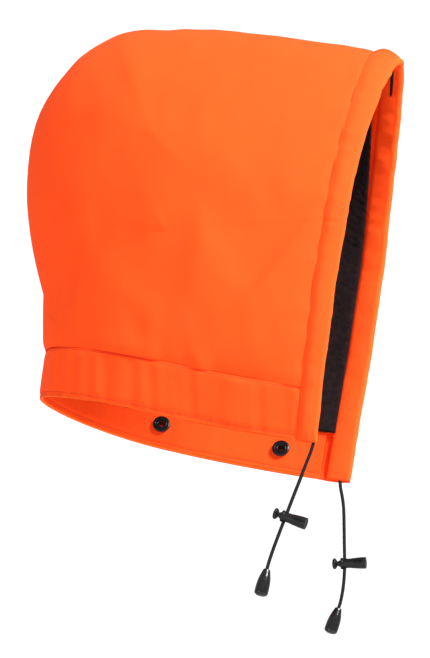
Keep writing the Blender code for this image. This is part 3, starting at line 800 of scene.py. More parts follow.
def sharpShade(made, degrees=35):
    mesh = made.data
    shape = bmesh.new()
    shape.from_mesh(mesh)
    for edge in shape.edges:
        edge.smooth = not (len(edge.link_faces) == 2 and edge.calc_face_angle(0) > math.radians(degrees))
    shape.to_mesh(mesh)
    shape.free()


def rodCutter(name, matrix, radius, stretch=0.0):
    # a round rod along the cord, drawn out along the barrel by stretch
    shape = bmesh.new()
    bmesh.ops.create_cone(shape, cap_ends=True, segments=32, radius1=radius, radius2=radius, depth=0.04)
    for vertex in shape.verts:
        if vertex.co.y > 0:
            vertex.co.y += stretch
    bmesh.ops.transform(shape, matrix=matrix @ Matrix.Rotation(math.radians(-90), 4, "X"), verts=shape.verts)
    mesh = bpy.data.meshes.new(name)
    shape.to_mesh(mesh)
    shape.free()
    return addObject(name, mesh)


lockSizes = {
    "mouth": -0.0032, "end": 0.0180, "boreEnd": 0.0145, "flangeRadius": 0.0048, "waistRadius": 0.0039,
    "radius": 0.0049, "wall": 0.0010, "play": 0.0008, "slotPlay": 0.0005, "travel": 0.0022,
    "head": 0.0037, "headRadius": 0.0046, "neck": 0.0032, "stemEnd": 0.0046, "rounding": 0.00035,
    "recess": {"length": 0.0078, "depth": 0.0013, "width": 0.0030, "start": 0.0078},
}
ls = lockSizes


def capsuleCutter(name, matrix, length, width, depth):
    # an oblong with round ends and a smaller floor, sunk from x = 0 to -depth
    shape = bmesh.new()
    middle, radius = length / 2, width / 2
    outline = []
    for centre, start in ((length - radius, -90), (radius, 90)):
        for step in range(9):
            angle = math.radians(start + 22.5 * step)
            outline.append((radius * math.sin(angle), centre + radius * math.cos(angle)))
    floor = [shape.verts.new((-depth, y * 0.82, middle + (z - middle) * 0.92)) for y, z in outline]
    top = [shape.verts.new((depth, y, z)) for y, z in outline]
    shape.faces.new(floor)
    shape.faces.new(top[::-1])
    for i in range(len(outline)):
        j = (i + 1) % len(outline)
        shape.faces.new((floor[i], top[i], top[j], floor[j]))
    bmesh.ops.recalc_face_normals(shape, faces=shape.faces)
    bmesh.ops.transform(shape, matrix=matrix, verts=shape.verts)
    mesh = bpy.data.meshes.new(name)
    shape.to_mesh(mesh)
    shape.free()
    return addObject(name, mesh)


def makeLock(name):
    matrix = lockMatrix(name)
    bore = ls["radius"] - ls["wall"] - 0.0010
    stem = bore - cs["gap"]
    flange, waist, full = ls["flangeRadius"], ls["waistRadius"], ls["radius"]
    barrel = [
        (bore, ls["mouth"]), (bore, ls["boreEnd"]), (0, ls["boreEnd"]), (0, ls["end"] - 0.0005),
        (full - 0.0016, ls["end"] - 0.0005), (full - 0.0013, ls["end"]),
        (full, ls["end"]), (full - 0.0001, 0.0128), (full - 0.0004, 0.0095), (waist + 0.0004, 0.0068),
        (waist + 0.0001, 0.0052), (waist + 0.0001, ls["mouth"] + 0.0028), (waist + 0.0001, ls["mouth"] + 0.0020),
        (flange, ls["mouth"] + 0.0018), (flange, ls["mouth"]),
    ]
    body = turned("lockBody" + name, rounded(barrel, ls["rounding"]), 64, matrix, lockPlastic)
    recess = ls["recess"]
    cutters = [rodCutter("cordHole", matrix, cs["diameter"] / 2 + ls["play"])]
    for turn in (0, 180):
        place = matrix @ Matrix.Rotation(math.radians(turn), 4, "Z") @ Matrix.Translation(
            (full, 0, recess["start"]))
        cutters.append(capsuleCutter("recess", place, recess["length"], recess["width"], recess["depth"]))
    cutAway(body, cutters)
    sharpShade(body)
    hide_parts("cord_lock_body_" + cadSide[name])
    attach(body, "cord_lock_" + cadSide[name])
    back = ls["mouth"] - ls["neck"]
    plunger = [
        (0, back - ls["head"]), (0, ls["stemEnd"]), (stem, ls["stemEnd"]), (stem, back + 0.0013),
        (stem - 0.0007, back + 0.0011), (stem - 0.0007, back + 0.0003), (stem + 0.0002, back),
        (ls["headRadius"] - 0.0010, back - 0.0005), (ls["headRadius"], back - 0.0014),
        (ls["headRadius"], back - ls["head"] + 0.0012), (ls["headRadius"] - 0.0006, back - ls["head"] + 0.0004),
        (ls["headRadius"] - 0.0016, back - ls["head"]),
    ]
    button = turned("lockPlunger" + name, rounded(plunger, 0.0003), 48, matrix, lockPlastic)
    cutAway(button, [rodCutter("slot", matrix, cs["diameter"] / 2 + ls["slotPlay"], ls["travel"])])
    sharpShade(button)
    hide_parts("cord_lock_plunger_" + cadSide[name])
    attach(button, "lock_plunger_" + cadSide[name])
    return body, button


capSizes = {"length": 0.0215, "top": -0.0035, "radius": 0.0056, "neckRadius": 0.0026, "wall": 0.0010,
            "plugRadius": 0.0046, "plugHeight": 0.0030}


def makeCap(name):
    route = freeRoute(name)
    way = Vector(route[-1] - route[-2]).normalized()
    matrix = facingAlong(route[-1], way, (1, 0, 0))
    top, radius = capSizes["top"], capSizes["radius"]
    bottom = top + capSizes["length"]
    entry = cs["diameter"] / 2 + cs["gap"]
    inner = capSizes["plugRadius"] + cs["gap"]
    bell = [
        (entry, top), (entry, -0.0008), (radius - capSizes["wall"] - 0.0008, top + 0.0090),
        (inner, bottom - capSizes["plugHeight"] - 0.0006), (inner, bottom - 0.0006),
        (radius - 0.0005, bottom - 0.0006), (radius - 0.0001, bottom - 0.0016), (radius, bottom - 0.0034),
        (radius - 0.0001, top + 0.0135), (radius - 0.0004, top + 0.0100), (radius - 0.0010, top + 0.0066),
        (radius - 0.0018, top + 0.0038), (capSizes["neckRadius"] + 0.0006, top + 0.0016),
        (capSizes["neckRadius"] + 0.0001, top + 0.0004), (capSizes["neckRadius"] - 0.0003, top),
    ]
    shell = turned("capBell" + name, rounded(bell, 0.0006), 56, matrix, capPlastic)
    plugRadius = capSizes["plugRadius"]
    plug = [
        (0, bottom + 0.0009), (0, bottom - capSizes["plugHeight"]), (plugRadius, bottom - capSizes["plugHeight"]),
        (plugRadius, bottom - 0.0004), (plugRadius - 0.0005, bottom + 0.0001), (plugRadius - 0.0018, bottom + 0.0007),
    ]
    stopper = turned("capPlug" + name, rounded(plug, 0.0005), 48, matrix, capPlastic)
    for made, node in ((shell, "cord_cap_bell_"), (stopper, "cord_cap_plug_")):
        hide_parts(node + cadSide[name])
        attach(made, "drawcord_" + cadSide[name])
    return shell, stopper


for name in sides:
    body, button = makeLock(name)
    shell, stopper = makeCap(name)
    made = bpy.data.objects["cordEnd" + name]
print("locks and caps are turned")

# ---- shell panels and lining

shellSizes = {
    "cells": (110, 72), "finer": 2, "crowding": 1.6, "middle": (0.0, 0.170), "wall": 0.0012, "overlap": 0.0012,
    "inwardCap": 0.0036, "sidewaysCap": 0.003, "settleCap": 0.0010, "smoothing": 24,
    "seamDip": 0.0013, "seamReach": 0.0050, "centreDip": 0.0006, "turnReach": 0.004,
    "gather": 0.0028, "scallop": 0.0006, "pucker": 0.0007, "billow": 0.0013, "dapple": 0.0005,
    "seeds": {"Right": {"relief": 11, "gathers": 31, "pucker": 83},
              "Left": {"relief": 23, "gathers": 47, "pucker": 87}},
    # how far the cloth stands off along the centre seam, by the turn about the head's middle
    "crownCentre": 0.15,
    "liftTurns": (-0.51, -0.20, 0.135, 0.434, 0.64, 0.92, 1.14, 1.51, 2.01, 2.32, 2.41),
    "lifts": (0.0015, -0.0045, 0.0008, 0.0053, 0.0066, 0.0092, 0.0105, 0.0040, 0.0032, 0.0046, 0.0042),
    # soft hollows: start (y, z), end (y, z), breadth, depth
    "hollows": {
        "Right": [((-0.018, 0.205), (-0.072, 0.118), 0.020, 0.0034), ((-0.120, 0.172), (-0.072, 0.118), 0.017, 0.0028),
                  ((0.068, 0.185), (0.004, 0.106), 0.021, 0.0034), ((-0.024, 0.178), (0.004, 0.106), 0.016, 0.0024),
                  ((0.100, 0.190), (0.108, 0.085), 0.008, 0.0030), ((0.080, 0.150), (0.098, 0.085), 0.007, 0.0022),
                  ((0.030, 0.085), (0.026, 0.062), 0.009, 0.0026)],
        "Left": [((-0.030, 0.215), (-0.064, 0.130), 0.021, 0.0032), ((-0.112, 0.180), (-0.064, 0.126), 0.016, 0.0026),
                 ((0.060, 0.200), (0.012, 0.112), 0.020, 0.0032), ((-0.030, 0.170), (0.010, 0.110), 0.017, 0.0024),
                 ((0.098, 0.205), (0.106, 0.090), 0.009, 0.0028), ((0.078, 0.140), (0.094, 0.088), 0.008, 0.0022)],
    },
}
ss = shellSizes


def panelSpots(shape, inset, forward=0.0, lower=0.0):
    # rows run from the casing to the centre seam, crowded at the seam, and narrow to nothing at the brow
    up = np.linspace(0, 1, shape[0] + 1)[:, None]
    across = 1 - (1 - np.linspace(0, 1, shape[1] + 1)[None, :])**ss["crowding"]

    def bottom(share):
        start = casingSeam(np.array(bandTop))[0] + inset - forward
        y = start + (hs["napeReach"] - hs["napeTuck"] - start) * share
        return spotOf(y, neckline(y) + hs["bandHeight"] + inset - lower)

    front = casingSeam(bandTop + (1 - bandTop) * up)
    front = front + (inset - forward * (1 - up**3))[..., None] * spotOf(1.0, 0.0)
    front = front + spotOf(0.0, (inset - lower) * (1 - up))
    seam = alongCurve(seamLine, napeSeamAt + inset + (browSeamAt - napeSeamAt - 2 * inset) * up)
    a = across[..., None]
    bend = bottom(across) - (bottom(0.0) * (1 - a) + bottom(1.0) * a)
    return front * (1 - a) + seam * a + bend * ((1 - up)**2)[..., None]


def flatSpots(spots):
    # the panel laid flat: each spot at its true distance over the cloth from the panel's middle
    middle = np.array(ss["middle"])
    shares = np.linspace(0, 1, 25)[:, None, None, None]
    rays = middle + (spots - middle) * shares
    points = np.concatenate([halfWidth(rays)[..., None], rays], axis=-1)
    over = np.linalg.norm(np.diff(points, axis=0), axis=-1).sum(0)
    straight = np.linalg.norm(spots - middle, axis=-1)
    return middle + (spots - middle) * (over / np.maximum(straight, 1e-6))[..., None]


def crownLift(points):
    # how far the cloth stands off the plain shape along the centre seam, most where it is pulled tight
    turn = np.arctan2(points[..., 2] - ss["crownCentre"], points[..., 1])
    lift = np.interp(turn, ss["liftTurns"], ss["lifts"])
    return lift * np.exp(-(points[..., 0] / 0.060)**2)


def hollow(spots, start, end, breadth, depth):
    start, end = np.array(start), np.array(end)
    way = end - start
    share = ((spots - start) @ way) / (way @ way)
    nearest = start + np.clip(share, 0, 1)[..., None] * way
    away = np.linalg.norm(spots - nearest, axis=-1) / breadth
    return depth * np.exp(-away * away) * (0.45 + 0.55 * smoothStep(np.clip(share, 0, 1) * 1.4))


def shellRelief(name, spots):
    # how far the cloth stands out of the plain surface, in metres
    relief = np.zeros(spots.shape[:-1])
    for start, end, breadth, depth in ss["hollows"][name]:
        relief -= hollow(spots, start, end, breadth, depth)
    seed = ss["seeds"][name]["relief"]
    relief += ss["billow"] * noise2(spots[..., 0] * 26 + 7, spots[..., 1] * 15 + 5, seed)
    relief += ss["dapple"] * noise2(spots[..., 0] * 70 + 17, spots[..., 1] * 40 + 9, seed + 1)
    return relief


def gathers(name, spots, aboveSeam):
    # short upright folds that rise from the neckband's seam and die out
    seed = ss["seeds"][name]["gathers"]
    y = spots[..., 0]
    warped = y * 62 + 1.3 * noise1(y * 25 + 40, seed + 1) + 60
    folds = noise1(warped, seed)
    height = 0.012 + 0.030 * (0.5 + 0.5 * noise1(y * 34 + 60, seed + 2)) * smoothStep((y + 0.11) / 0.12)
    fade = np.exp(-(aboveSeam / height)**2)
    return ss["gather"] * folds * fade * (0.35 + 0.65 * smoothStep((y + 0.12) / 0.10))


def refined(grid, factor):
    # Catmull-Rom between the grid's points, along both of its sides
    for axis in (0, 1):
        count = grid.shape[axis] - 1
        at = np.arange(count * factor + 1) / factor
        cell = np.minimum(at.astype(int), count - 1)
        t = (at - cell).reshape((-1, 1, 1) if axis == 0 else (1, -1, 1))
        before, here, there, after = (np.take(grid, np.clip(cell + shift, 0, count), axis) for shift in (-1, 0, 1, 2))
        grid = 0.5 * (2 * here + (there - before) * t + (2 * before - 5 * here + 4 * there - after) * t**2
                      + (3 * here - before - 3 * there + after) * t**3)
    return grid


# one run of cloth simulation a panel, cut a little larger than its seams
drapeSizes = {"frames": 22, "quality": 6, "mass": 0.3, "stretch": 18, "shear": 8, "bending": 6, "damping": 4,
              "grow": 0.010, "pressure": 0.02, "gravity": 0.3, "pins": ((0, 1.0), (1, 0.7), (2, 0.3))}
ds = drapeSizes


def draped(name, start):
    made = gridObject("drape" + name, start, shellCloth)
    rows, columns = start.shape[:2]
    across, up = np.meshgrid(np.arange(rows), np.arange(columns), indexing="ij")
    border = np.minimum(np.minimum(across, rows - 1 - across), np.minimum(up, columns - 1 - up))
    pins = made.vertex_groups.new(name="seams")
    for depth, weight in ds["pins"]:
        pins.add([int(i) for i in np.flatnonzero(border.reshape(-1) == depth)], weight, "REPLACE")
    cloth = made.modifiers.new("cloth", "CLOTH")
    settings = cloth.settings
    settings.vertex_group_mass = "seams"
    settings.quality = ds["quality"]
    settings.mass = ds["mass"]
    settings.tension_stiffness = settings.compression_stiffness = ds["stretch"]
    settings.shear_stiffness = ds["shear"]
    settings.bending_stiffness = ds["bending"]
    settings.air_damping = ds["damping"]
    settings.shrink_min = -ds["grow"]
    settings.use_pressure = True
    settings.uniform_pressure_force = ds["pressure"]
    settings.effector_weights.gravity = ds["gravity"]
    cloth.collision_settings.use_collision = False
    cloth.point_cache.frame_start, cloth.point_cache.frame_end = 1, ds["frames"]
    scene = bpy.context.scene
    for step in range(1, ds["frames"] + 1):
        scene.frame_set(step)
    mesh = made.evaluated_get(bpy.context.evaluated_depsgraph_get()).data
    settled = np.empty(len(mesh.vertices) * 3, np.float32)
    mesh.vertices.foreach_get("co", settled)
    settled = settled.astype(float).reshape(start.shape)
    scene.frame_set(1)
    old = made.data
    bpy.data.objects.remove(made)
    bpy.data.meshes.remove(old)
    return settled


def outwardNormals(name, points):
    normals = turnedOut(gridNormals(points), np.array((sides[name], 0, 0)))
    normals[-1] = normals[-2]  # the row at the brow has no length
    # beside the centre seam the cloth turns square to it
    along = np.gradient(points[:, -1], axis=0)
    square = np.stack([np.zeros(len(along)), along[:, 2], -along[:, 1]], axis=-1)
    square /= np.linalg.norm(square, axis=-1)[:, None]
    away = np.linalg.norm(points - points[:, -1:], axis=-1)[..., None]
    near = np.exp(-(away / ss["turnReach"])**2)
    normals = normals * (1 - near) + square[:, None] * near
    return normals / np.linalg.norm(normals, axis=-1)[..., None]


def makePanel(name):
    side = sides[name]
    edges = {"inset": hs["seamGap"], "forward": ss["overlap"], "lower": ss["overlap"]}
    spots = panelSpots(ss["cells"], **edges)
    plain = skin(side, spots)
    normals = outwardNormals(name, plain)
    up = np.linspace(0, 1, plain.shape[0])[:, None]
    across = np.linspace(0, 1, plain.shape[1])[None, :]
    border = np.minimum(np.minimum(across, 1 - across), np.minimum(up, 1 - up))
    relief = shellRelief(name, spots) * smoothStep(border / 0.10)
    start = plain + normals * relief[..., None]
    settled = draped(name, start)
    moved = settled - plain
    out = (moved * normals).sum(-1)
    sideways = moved - normals * out[..., None]
    sideways *= np.minimum(1, ss["sidewaysCap"] / np.maximum(np.linalg.norm(sideways, axis=-1), 1e-9))[..., None]
    settling = ss["settleCap"] * np.tanh((out - relief) / ss["settleCap"])
    for _ in range(ss["smoothing"]):  # soft folds, with no step where the cap sets in
        settling[1:-1] = (settling[:-2] + 2 * settling[1:-1] + settling[2:]) / 4
        settling[:, 1:-1] = (settling[:, :-2] + 2 * settling[:, 1:-1] + settling[:, 2:]) / 4
    out = np.maximum(relief, 0) + ss["inwardCap"] * np.tanh(np.minimum(relief, 0) / ss["inwardCap"]) + settling
    delta = refined(normals * out[..., None] + sideways, ss["finer"])
    flat = refined(flatSpots(spots), ss["finer"])
    spots = panelSpots([ss["finer"] * cells for cells in ss["cells"]], **edges)
    plain = skin(side, spots)
    normals = outwardNormals(name, plain)
    y, z = spots[..., 0], spots[..., 1]
    aboveBand = z - neckline(y) - hs["bandHeight"]
    toSeam = np.minimum(seamDistance(spots), 1)
    rise = np.clip((z + hs["neckDrop"]) / (hs["browHeight"] + hs["neckDrop"]), 0, 1)
    toCasing = np.abs(y - casingSeam(rise)[..., 0])
    detail = gathers(name, spots, aboveBand)
    # scallops where the centre seam draws the cloth in
    turn = np.arctan2(z - ss["crownCentre"], y)
    alongSeam = turn * 0.2
    onCrown = smoothStep((turn - 1.1) / 0.5)
    detail += ss["scallop"] * onCrown * noise1(alongSeam * 75 + 90, 5) * np.exp(-(toSeam / 0.016)**2)
    detail += crownLift(plain)
    # light puckers along the casing's seam
    pucker = noise1(z * 95 + 12, ss["seeds"][name]["pucker"])
    detail += ss["pucker"] * pucker * np.exp(-(toCasing / 0.012)**2)
    detail -= ss["centreDip"] * np.exp(-(toSeam / 0.003)**1.6)
    for away in (toCasing, np.maximum(aboveBand, 0)):
        detail -= ss["seamDip"] * np.exp(-(away / ss["seamReach"])**1.6)
    points = plain + delta + normals * detail[..., None]
    points[..., 0] = side * np.maximum(side * points[..., 0], hs["seamGap"] / 2)
    made = gridObject("shell" + name, points, shellCloth, ss["wall"], outwardNormals(name, points), uv=flat)
    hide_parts("shell_" + cadSide[name], "wadding_" + cadSide[name])
    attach(made, "hood")
    print("shell panel", name, "stands off its plain shape by", round(float(out.min()) * 1000, 1), "to",
          round(float(out.max()) * 1000, 1), "mm")


liningSizes = {"cells": (190, 120), "inset": 0.0012, "forward": {"Right": 0.0035, "Left": 0.0085}, "lower": 0.0035,
               "depth": 0.0057, "wall": 0.0020, "pile": 0.00035, "waves": 0.0009, "seamTuck": 0.0012,
               "flat": (0.361, 0.390), "area": 0.102}
li = liningSizes


def makeLining(name):
    side = sides[name]
    spots = panelSpots(li["cells"], li["inset"], li["forward"][name], li["lower"])
    plain = skin(side, spots)
    normals = outwardNormals(name, plain)
    toSeam = np.minimum(seamDistance(spots), 1)
    waves = li["waves"] * noise2(spots[..., 0] * 22 + 3, spots[..., 1] * 18 + 5, 101)
    pile = li["pile"] * np.random.RandomState(7 + side).uniform(-1, 1, toSeam.shape)
    seamTuck = li["seamTuck"] * np.exp(-(toSeam / 0.003)**2)
    follow = np.minimum(crownLift(plain), 0)  # where the shell is drawn in, the lining is too
    points = plain - normals * (li["depth"] + waves * 0.5 + pile - seamTuck - follow)[..., None]
    points[..., 0] = side * np.maximum(side * points[..., 0], hs["seamGap"] / 2)
    made = gridObject("lining" + name, points, fleece, li["wall"], normals)
    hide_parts("lining_" + cadSide[name])
    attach(made, "hood")


for name in sides:
    makePanel(name)
    makeLining(name)
print("shell and lining are made")

# ---- face casing

casingSizes = {
    "stations": 620, "puff": 0.0022, "innerPuff": 0.0010, "seamDip": 0.0016, "tuck": 0.0008,
    "ripple": 0.0010, "innerRipple": 0.0015, "foldRipple": 0.0011, "endPinch": 0.45, "wall": 0.0010,
    "innerWidth": 0.0205,
    # how much wider the worn casing is than its plain shape, from the right mouth over the brow to the left
    "shares": (0.0, 0.03, 0.10, 0.25, 0.44, 0.50, 0.56, 0.75, 0.90, 1.0),
    "widen": (-0.0045, -0.0042, -0.0030, -0.0028, 0.0000, 0.0030, 0.0030, 0.0040, 0.0064, 0.0044),
}
cz = casingSizes


def casingSection(width, at, share):
    # forward and depth of the folded strip: out over the outside, round the fold and back inside
    outer = np.linspace(0, 1, 15)
    fold = np.linspace(0, math.pi, 15)[1:-1]
    thickness = hs["thickness"]
    reach = (width - thickness / 2)[:, None]
    brow = np.exp(-((share - 0.5) / 0.16)**2)[:, None]
    tip = np.exp(-((share - 0.5) / 0.045)**2)[:, None]
    swell = np.sin(math.pi * np.clip(outer, 0, 1))**0.8

    def ripple(size, rates, seeds, calm, lively):
        wave = noise1(at * rates[0] + 50, seeds[0]) * 0.75 + noise1(at * rates[1] + 50, seeds[1]) * 0.45
        return cz[size] * wave[:, None] * (calm + lively * brow)

    rippleOut = ripple("ripple", (95, 210), (201, 202), 0.8, 0.9)
    rippleIn = ripple("innerRipple", (82, 170), (203, 204), 0.5, 1.5)
    rippleFold = ripple("foldRipple", (74, 160), (205, 206), 0.7, 1.0)
    away = outer * (reach + cz["tuck"]) - cz["tuck"]
    dip = cz["seamDip"] * np.exp(-(np.maximum(away, 0) / 0.0036)**1.6)
    outDepth = dip - (cz["puff"] + rippleOut + 0.0012 * tip) * swell
    inner = reach - outer * np.minimum(reach, cz["innerWidth"] - thickness / 2)
    tucked = np.exp(-((outer - 1) * cz["innerWidth"] / 0.0022)**2)
    inDepth = thickness + (cz["innerPuff"] + rippleIn) * swell - 0.0012 * tucked
    foldForward = reach + rippleFold * 0.6 + (thickness / 2 + 0.0008 * tip) * np.sin(fold)
    foldDepth = thickness / 2 - (thickness / 2) * np.cos(fold) + rippleFold * 0.35 * np.sin(fold)
    forward = np.concatenate([away + rippleFold * 0.6 * outer, foldForward, inner + rippleFold * 0.6 * (1 - outer)],
                             axis=1)
    depth = np.concatenate([outDepth, foldDepth, inDepth], axis=1)
    return forward, depth


def makeCasing():
    share = np.linspace(0, 1, cz["stations"])
    seamPoint, forward, outward, width = casingFrame(share)
    at = lengthsAlong(seamPoint + forward * width[:, None])
    width = width + np.interp(share, cz["shares"], cz["widen"])
    out, depth = casingSection(width, at, share)
    fromEnd = np.minimum(at, at[-1] - at)[:, None]
    pinch = 1 - cz["endPinch"] * np.exp(-(fromEnd / 0.007)**2)
    depth = hs["thickness"] / 2 + (depth - hs["thickness"] / 2) * pinch
    lift = crownLift(seamPoint)[:, None]
    points = seamPoint[:, None] + forward[:, None] * out[..., None] - outward[:, None] * (depth - lift)[..., None]
    columns = np.arange(points.shape[1])
    middle = (points.shape[1] - 1) / 2
    # painted highlight along the middle of the casing's fold
    edge = 0.35 * np.exp(-((columns - middle) / 4.5)**2)
    normals = gridNormals(points)
    normals *= np.sign((normals[:, 7] * outward).sum())
    made = gridObject("faceCasing", points, casingCloth, cz["wall"], normals, edge=edge[None, :])
    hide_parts("face_casing")
    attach(made, "hood")


makeCasing()
print("face casing is rolled")

# ---- neckband

bandSizes = {
    "columns": 520, "rows": 34, "foldDepth": 0.0009, "innerDepth": 0.0050, "foldThickness": 0.0030,
    "stitchRise": 0.0042, "facingHeight": 0.0425, "wall": 0.0009, "ripple": 0.0015, "seamDip": 0.0011,
    "holeRadius": 0.0030, "flat": (0.091, 0.5255),
}
bz = bandSizes

studSizes = {
    "radius": 0.0075, "holeRadius": 0.0028, "rise": 0.020,
    "places": {"front_right": (-1, 0.157), "rear_right": (-1, 0.614), "centre_back": (1, 1.0),
               "rear_left": (1, 0.614), "front_left": (1, 0.157)},
}


def studFrame(place):
    side, across = studSizes["places"][place]
    share = studSizes["rise"] / hs["bandHeight"]
    spot = bandSpot(np.array(share), np.array(across))
    if across == 1:
        inward = Vector((0, -1, -hs["napeTuck"] / hs["bandHeight"])).normalized()
    else:
        inward = -skinNormal(side, spot)
    return Vector(skin(side, spot)), inward


def bandSurface(shares, columns):
    # the plain outer skin of the band, from the right casing seam round the nape to the left
    place = np.linspace(-1, 1, columns)[:, None]
    across = 1 - np.abs(place)**1.35
    side = np.where(place < 0, -1, 1)
    spots = bandSpot(shares[None, :], across)
    plain = skin(side, spots)
    normals = gridNormals(plain)
    if normals[10, 1, 0] > 0:
        normals = -normals
    return spots, plain, normals


def makeBand():
    rows = bz["rows"]
    shares = np.linspace(1, 0, rows)
    spots, plain, normals = bandSurface(shares, bz["columns"])
    at = lengthsAlong(plain[:, rows // 2])[:, None]
    rise = (shares * hs["bandHeight"])[None, :]
    side = np.where(np.linspace(-1, 1, bz["columns"]) < 0, -1, 1)[:, None]
    body = smoothStep(rise / 0.006) * smoothStep((hs["bandHeight"] - rise) / 0.006)
    wave = 0.6 * noise1(at * 72 + 90, 301) + 0.5 * noise1(at * 120 + 0.6 * noise1(rise * 60 + 3, 303) + 90, 302)
    ripple = bz["ripple"] * wave * body
    ripple = ripple + 0.0005 * noise2(at * 45 + 9, rise * 60 + 3, 304) * body
    atStitch = np.exp(-((rise - bz["stitchRise"]) / 0.0012)**2)
    pucker = 0.00035 * noise1(at * 330 + 90, 305) * np.exp(-((rise - bz["stitchRise"]) / 0.004)**2)
    outDepth = (bz["foldDepth"] * (1 - smoothStep(rise / 0.010)) + bz["seamDip"]
                * np.exp(-((hs["bandHeight"] - rise) / 0.0022)**2) + 0.00045 * atStitch - ripple - pucker)
    outer = plain - normals * outDepth[..., None]
    ends = np.minimum(at, at[-1] - at)
    outer = outer - normals * (0.0011 * np.exp(-(ends / 0.0030)**2))[..., None]
    # fold at the lower edge
    down = plain[:, -1] - plain[:, -2]
    down /= np.linalg.norm(down, axis=-1)[:, None]
    radius = bz["foldThickness"] / 2
    wobble = 0.0003 * noise1(at[:, 0] * 60 + 90, 306)
    centre = plain[:, -1] - normals[:, -1] * (bz["foldDepth"] + radius) - down * (radius - wobble)[:, None]
    turns = np.linspace(0, math.pi, 9)[1:-1]
    fold = (centre[:, None] + radius * (np.cos(turns)[None, :, None] * normals[:, -1:]
                                        + np.sin(turns)[None, :, None] * down[:, None]))
    # facing inside
    innerShares = np.linspace(0.02, bz["facingHeight"] / hs["bandHeight"], rows)
    _, innerPlain, innerNormals = bandSurface(innerShares, bz["columns"])
    innerRise = (innerShares * hs["bandHeight"])[None, :]
    lowDepth = bz["foldDepth"] + bz["foldThickness"]
    bodyIn = smoothStep(innerRise / 0.007) * smoothStep((bz["facingHeight"] - innerRise) / 0.006)
    innerWave = 0.5 * noise1(at * 66 + 90, 307) + 0.35 * noise1(at * 130 + 90, 308)
    atStitchIn = np.exp(-((innerRise - bz["stitchRise"]) / 0.0012)**2)
    inDepth = (lowDepth + (bz["innerDepth"] - lowDepth) * smoothStep(innerRise / 0.010)
               + 0.0007 * innerWave * bodyIn - 0.0004 * atStitchIn)
    inside = innerPlain - innerNormals * inDepth[..., None]
    near = np.zeros(inside.shape[:2], bool)
    for place in studSizes["places"]:
        centreOf, inward = studFrame(place)
        offset = inside - np.array(centreOf)
        height = offset @ np.array(inward)
        away = np.linalg.norm(offset - height[..., None] * np.array(inward), axis=-1)
        # the stud presses the cloth flat round it
        target = bz["innerDepth"] + 0.0004
        press = (1 - smoothStep((away - 0.0070) / 0.0050)) * (np.abs(height) < 0.02)
        inside = inside + (press * (target - height))[..., None] * np.array(inward) * 0.9
        near |= (away < bz["holeRadius"]) & (np.abs(height) < 0.02)
    points = np.concatenate([outer, fold, inside], axis=1)
    rowAt = np.arange(points.shape[1])
    foldMiddle = rows + 3
    # painted highlight along the band's lower fold
    edge = 0.85 * np.exp(-((rowAt - foldMiddle) / 3.2)**2)
    holes = np.zeros((points.shape[0] - 1, points.shape[1] - 1), bool)
    start = rows + len(turns)
    hit = near[:-1, :-1] | near[1:, :-1] | near[:-1, 1:] | near[1:, 1:]
    holes[:, start:] = hit
    outward = gridNormals(points)
    outward *= np.sign((outward[:, :rows] * normals).sum())
    made = gridObject("neckband", points, bandCloth, bz["wall"], outward, edge=edge[None, :], holes=holes)
    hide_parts("neckband_outer", "neckband_facing", "neckband_interlining")
    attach(made, "hood")
    return outer, inside


bandOuter, bandInside = makeBand()
print("neckband is folded")

# ---- press studs


def makeStud(place):
    centre, inward = studFrame(place)
    matrix = facingAlong(centre, inward, (0, 0, 1))
    solid = bpy.data.objects["stud_socket_" + place].data
    heights = [(vertex.co - centre).dot(inward) for vertex in solid.vertices]
    base, face = min(heights), max(heights)
    radius, hole = studSizes["radius"], studSizes["holeRadius"]
    # both stay clear of the ring spring and of the eyelet's barrel
    groove = 0.0034 + 0.0007 + 0.0003
    bore = 0.0022 + 0.0005 + 0.0003
    profile = [
        (hole, face - 0.0002), (hole + 0.0004, face), (hole + 0.0016, face), (hole + 0.0018, face - 0.0004),
        (hole + 0.0022, face - 0.0004), (hole + 0.0024, face), (radius - 0.0013, face),
        (radius - 0.0004, face - 0.0004), (radius, face - 0.0012), (radius, face - 0.0016),
        (radius - 0.0003, face - 0.0018), (radius - 0.0003, base + 0.0003), (radius - 0.0006, base),
        (bore, base), (bore, base + 0.0004), (groove, base + 0.0004), (groove, face - 0.0008), (hole, face - 0.0008),
    ]
    made = turned("studSocket_" + place, rounded(profile, 0.00025, 3), 72, matrix, studPlastic)
    sharpShade(made, 50)
    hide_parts("stud_socket_" + place)
    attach(made, "hood")


def paintNode(node, material):
    coats = bpy.data.objects[node].data.materials
    coats.clear()
    coats.append(material)


for place in studSizes["places"]:
    makeStud(place)
    paintNode("stud_spring_" + place, steel)
    paintNode("stud_eyelet_" + place, studPlastic)
for side in cadSide.values():
    paintNode("cord_lock_spring_" + side, steel)
    paintNode("drawcord_knot_" + side, braid)
paintNode("drawcord_run", braid)
print("studs are set")

# ---- topstitching

stitchSizes = {"pitch": 0.0028, "length": 0.0017, "thread": 0.00060, "lift": 0.0001}


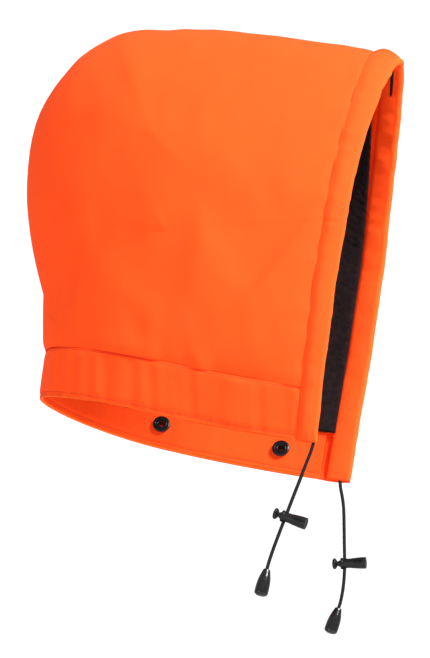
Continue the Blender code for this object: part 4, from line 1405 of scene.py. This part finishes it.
def stitchTree():
    tree = bpy.data.node_groups.new("stitchRow", "GeometryNodeTree")
    groupSocket(tree, "Geometry", "Geometry")
    inputs = {"pitch": groupSocket(tree, "Pitch", "Float", value=0.0029),
              "length": groupSocket(tree, "Stitch Length", "Float", value=0.0021),
              "thread": groupSocket(tree, "Thread", "Float", value=0.0004),
              "material": groupSocket(tree, "Material", "Material")}
    groupSocket(tree, "Geometry", "Geometry", "OUTPUT")
    nodes, links = tree.nodes, tree.links
    given, out = nodes.new("NodeGroupInput"), nodes.new("NodeGroupOutput")
    curve, resample = nodes.new("GeometryNodeMeshToCurve"), nodes.new("GeometryNodeResampleCurve")
    resample.mode = "LENGTH"
    instance, ball = nodes.new("GeometryNodeInstanceOnPoints"), nodes.new("GeometryNodeMeshUVSphere")
    ball.inputs["Segments"].default_value = 7
    ball.inputs["Rings"].default_value = 6
    ball.inputs["Radius"].default_value = 0.5
    align, tangent = nodes.new("FunctionNodeAlignEulerToVector"), nodes.new("GeometryNodeInputTangent")
    align.axis = "X"
    size, real = nodes.new("ShaderNodeCombineXYZ"), nodes.new("GeometryNodeRealizeInstances")
    paint, smooth = nodes.new("GeometryNodeSetMaterial"), nodes.new("GeometryNodeSetShadeSmooth")
    links.new(given.outputs["Geometry"], curve.inputs[0])
    links.new(curve.outputs[0], resample.inputs["Curve"])
    links.new(given.outputs["Pitch"], resample.inputs["Length"])
    links.new(resample.outputs[0], instance.inputs["Points"])
    links.new(ball.outputs[0], instance.inputs["Instance"])
    links.new(tangent.outputs[0], align.inputs["Vector"])
    links.new(align.outputs[0], instance.inputs["Rotation"])
    links.new(given.outputs["Stitch Length"], size.inputs["X"])
    links.new(given.outputs["Thread"], size.inputs["Y"])
    links.new(given.outputs["Thread"], size.inputs["Z"])
    links.new(size.outputs[0], instance.inputs["Scale"])
    links.new(instance.outputs[0], real.inputs[0])
    links.new(real.outputs[0], smooth.inputs[0])
    links.new(smooth.outputs[0], paint.inputs["Geometry"])
    links.new(given.outputs["Material"], paint.inputs["Material"])
    links.new(paint.outputs[0], out.inputs[0])
    return tree, inputs


stitchRow, stitchInputs = stitchTree()


def stitch(name, lines, material):
    # a row of stitches along each line of points
    vertices, edges = [], []
    for line in lines:
        first = len(vertices)
        vertices += np.asarray(line).tolist()
        edges += [(first + i, first + i + 1) for i in range(len(line) - 1)]
    mesh = bpy.data.meshes.new(name)
    mesh.from_pydata(vertices, edges, [])
    made = addObject(name, mesh)
    modifier = made.modifiers.new("stitches", "NODES")
    modifier.node_group = stitchRow
    for key in ("pitch", "length", "thread"):
        modifier[stitchInputs[key].identifier] = stitchSizes[key]
    modifier[stitchInputs["material"].identifier] = material
    applied(made)
    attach(made, "hood")


def stitchLine(points, way, row):
    # one row of a cloth grid, lifted off it; way is the side of x that the grid's right end looks to
    normals = gridNormals(points)
    if normals[10, 5, 0] * way < 0:
        normals = -normals
    return points[2:-2, row] + normals[2:-2, row] * stitchSizes["lift"]


outerRises = np.linspace(1, 0, bz["rows"]) * hs["bandHeight"]
innerRises = np.linspace(0.02 * hs["bandHeight"], bz["facingHeight"], bz["rows"])
hemRowOut, hemRowIn = (int(np.argmin(np.abs(rises - bz["stitchRise"]))) for rises in (outerRises, innerRises))
stitch("bandHemStitches", [stitchLine(bandOuter, -1, hemRowOut), stitchLine(bandInside, 1, hemRowIn)], thread)
stitch("bandTopStitches", [stitchLine(bandOuter, -1, 1)], thread)
print("stitching is sewn")

# ---- hand over

bpy.context.view_layer.update()
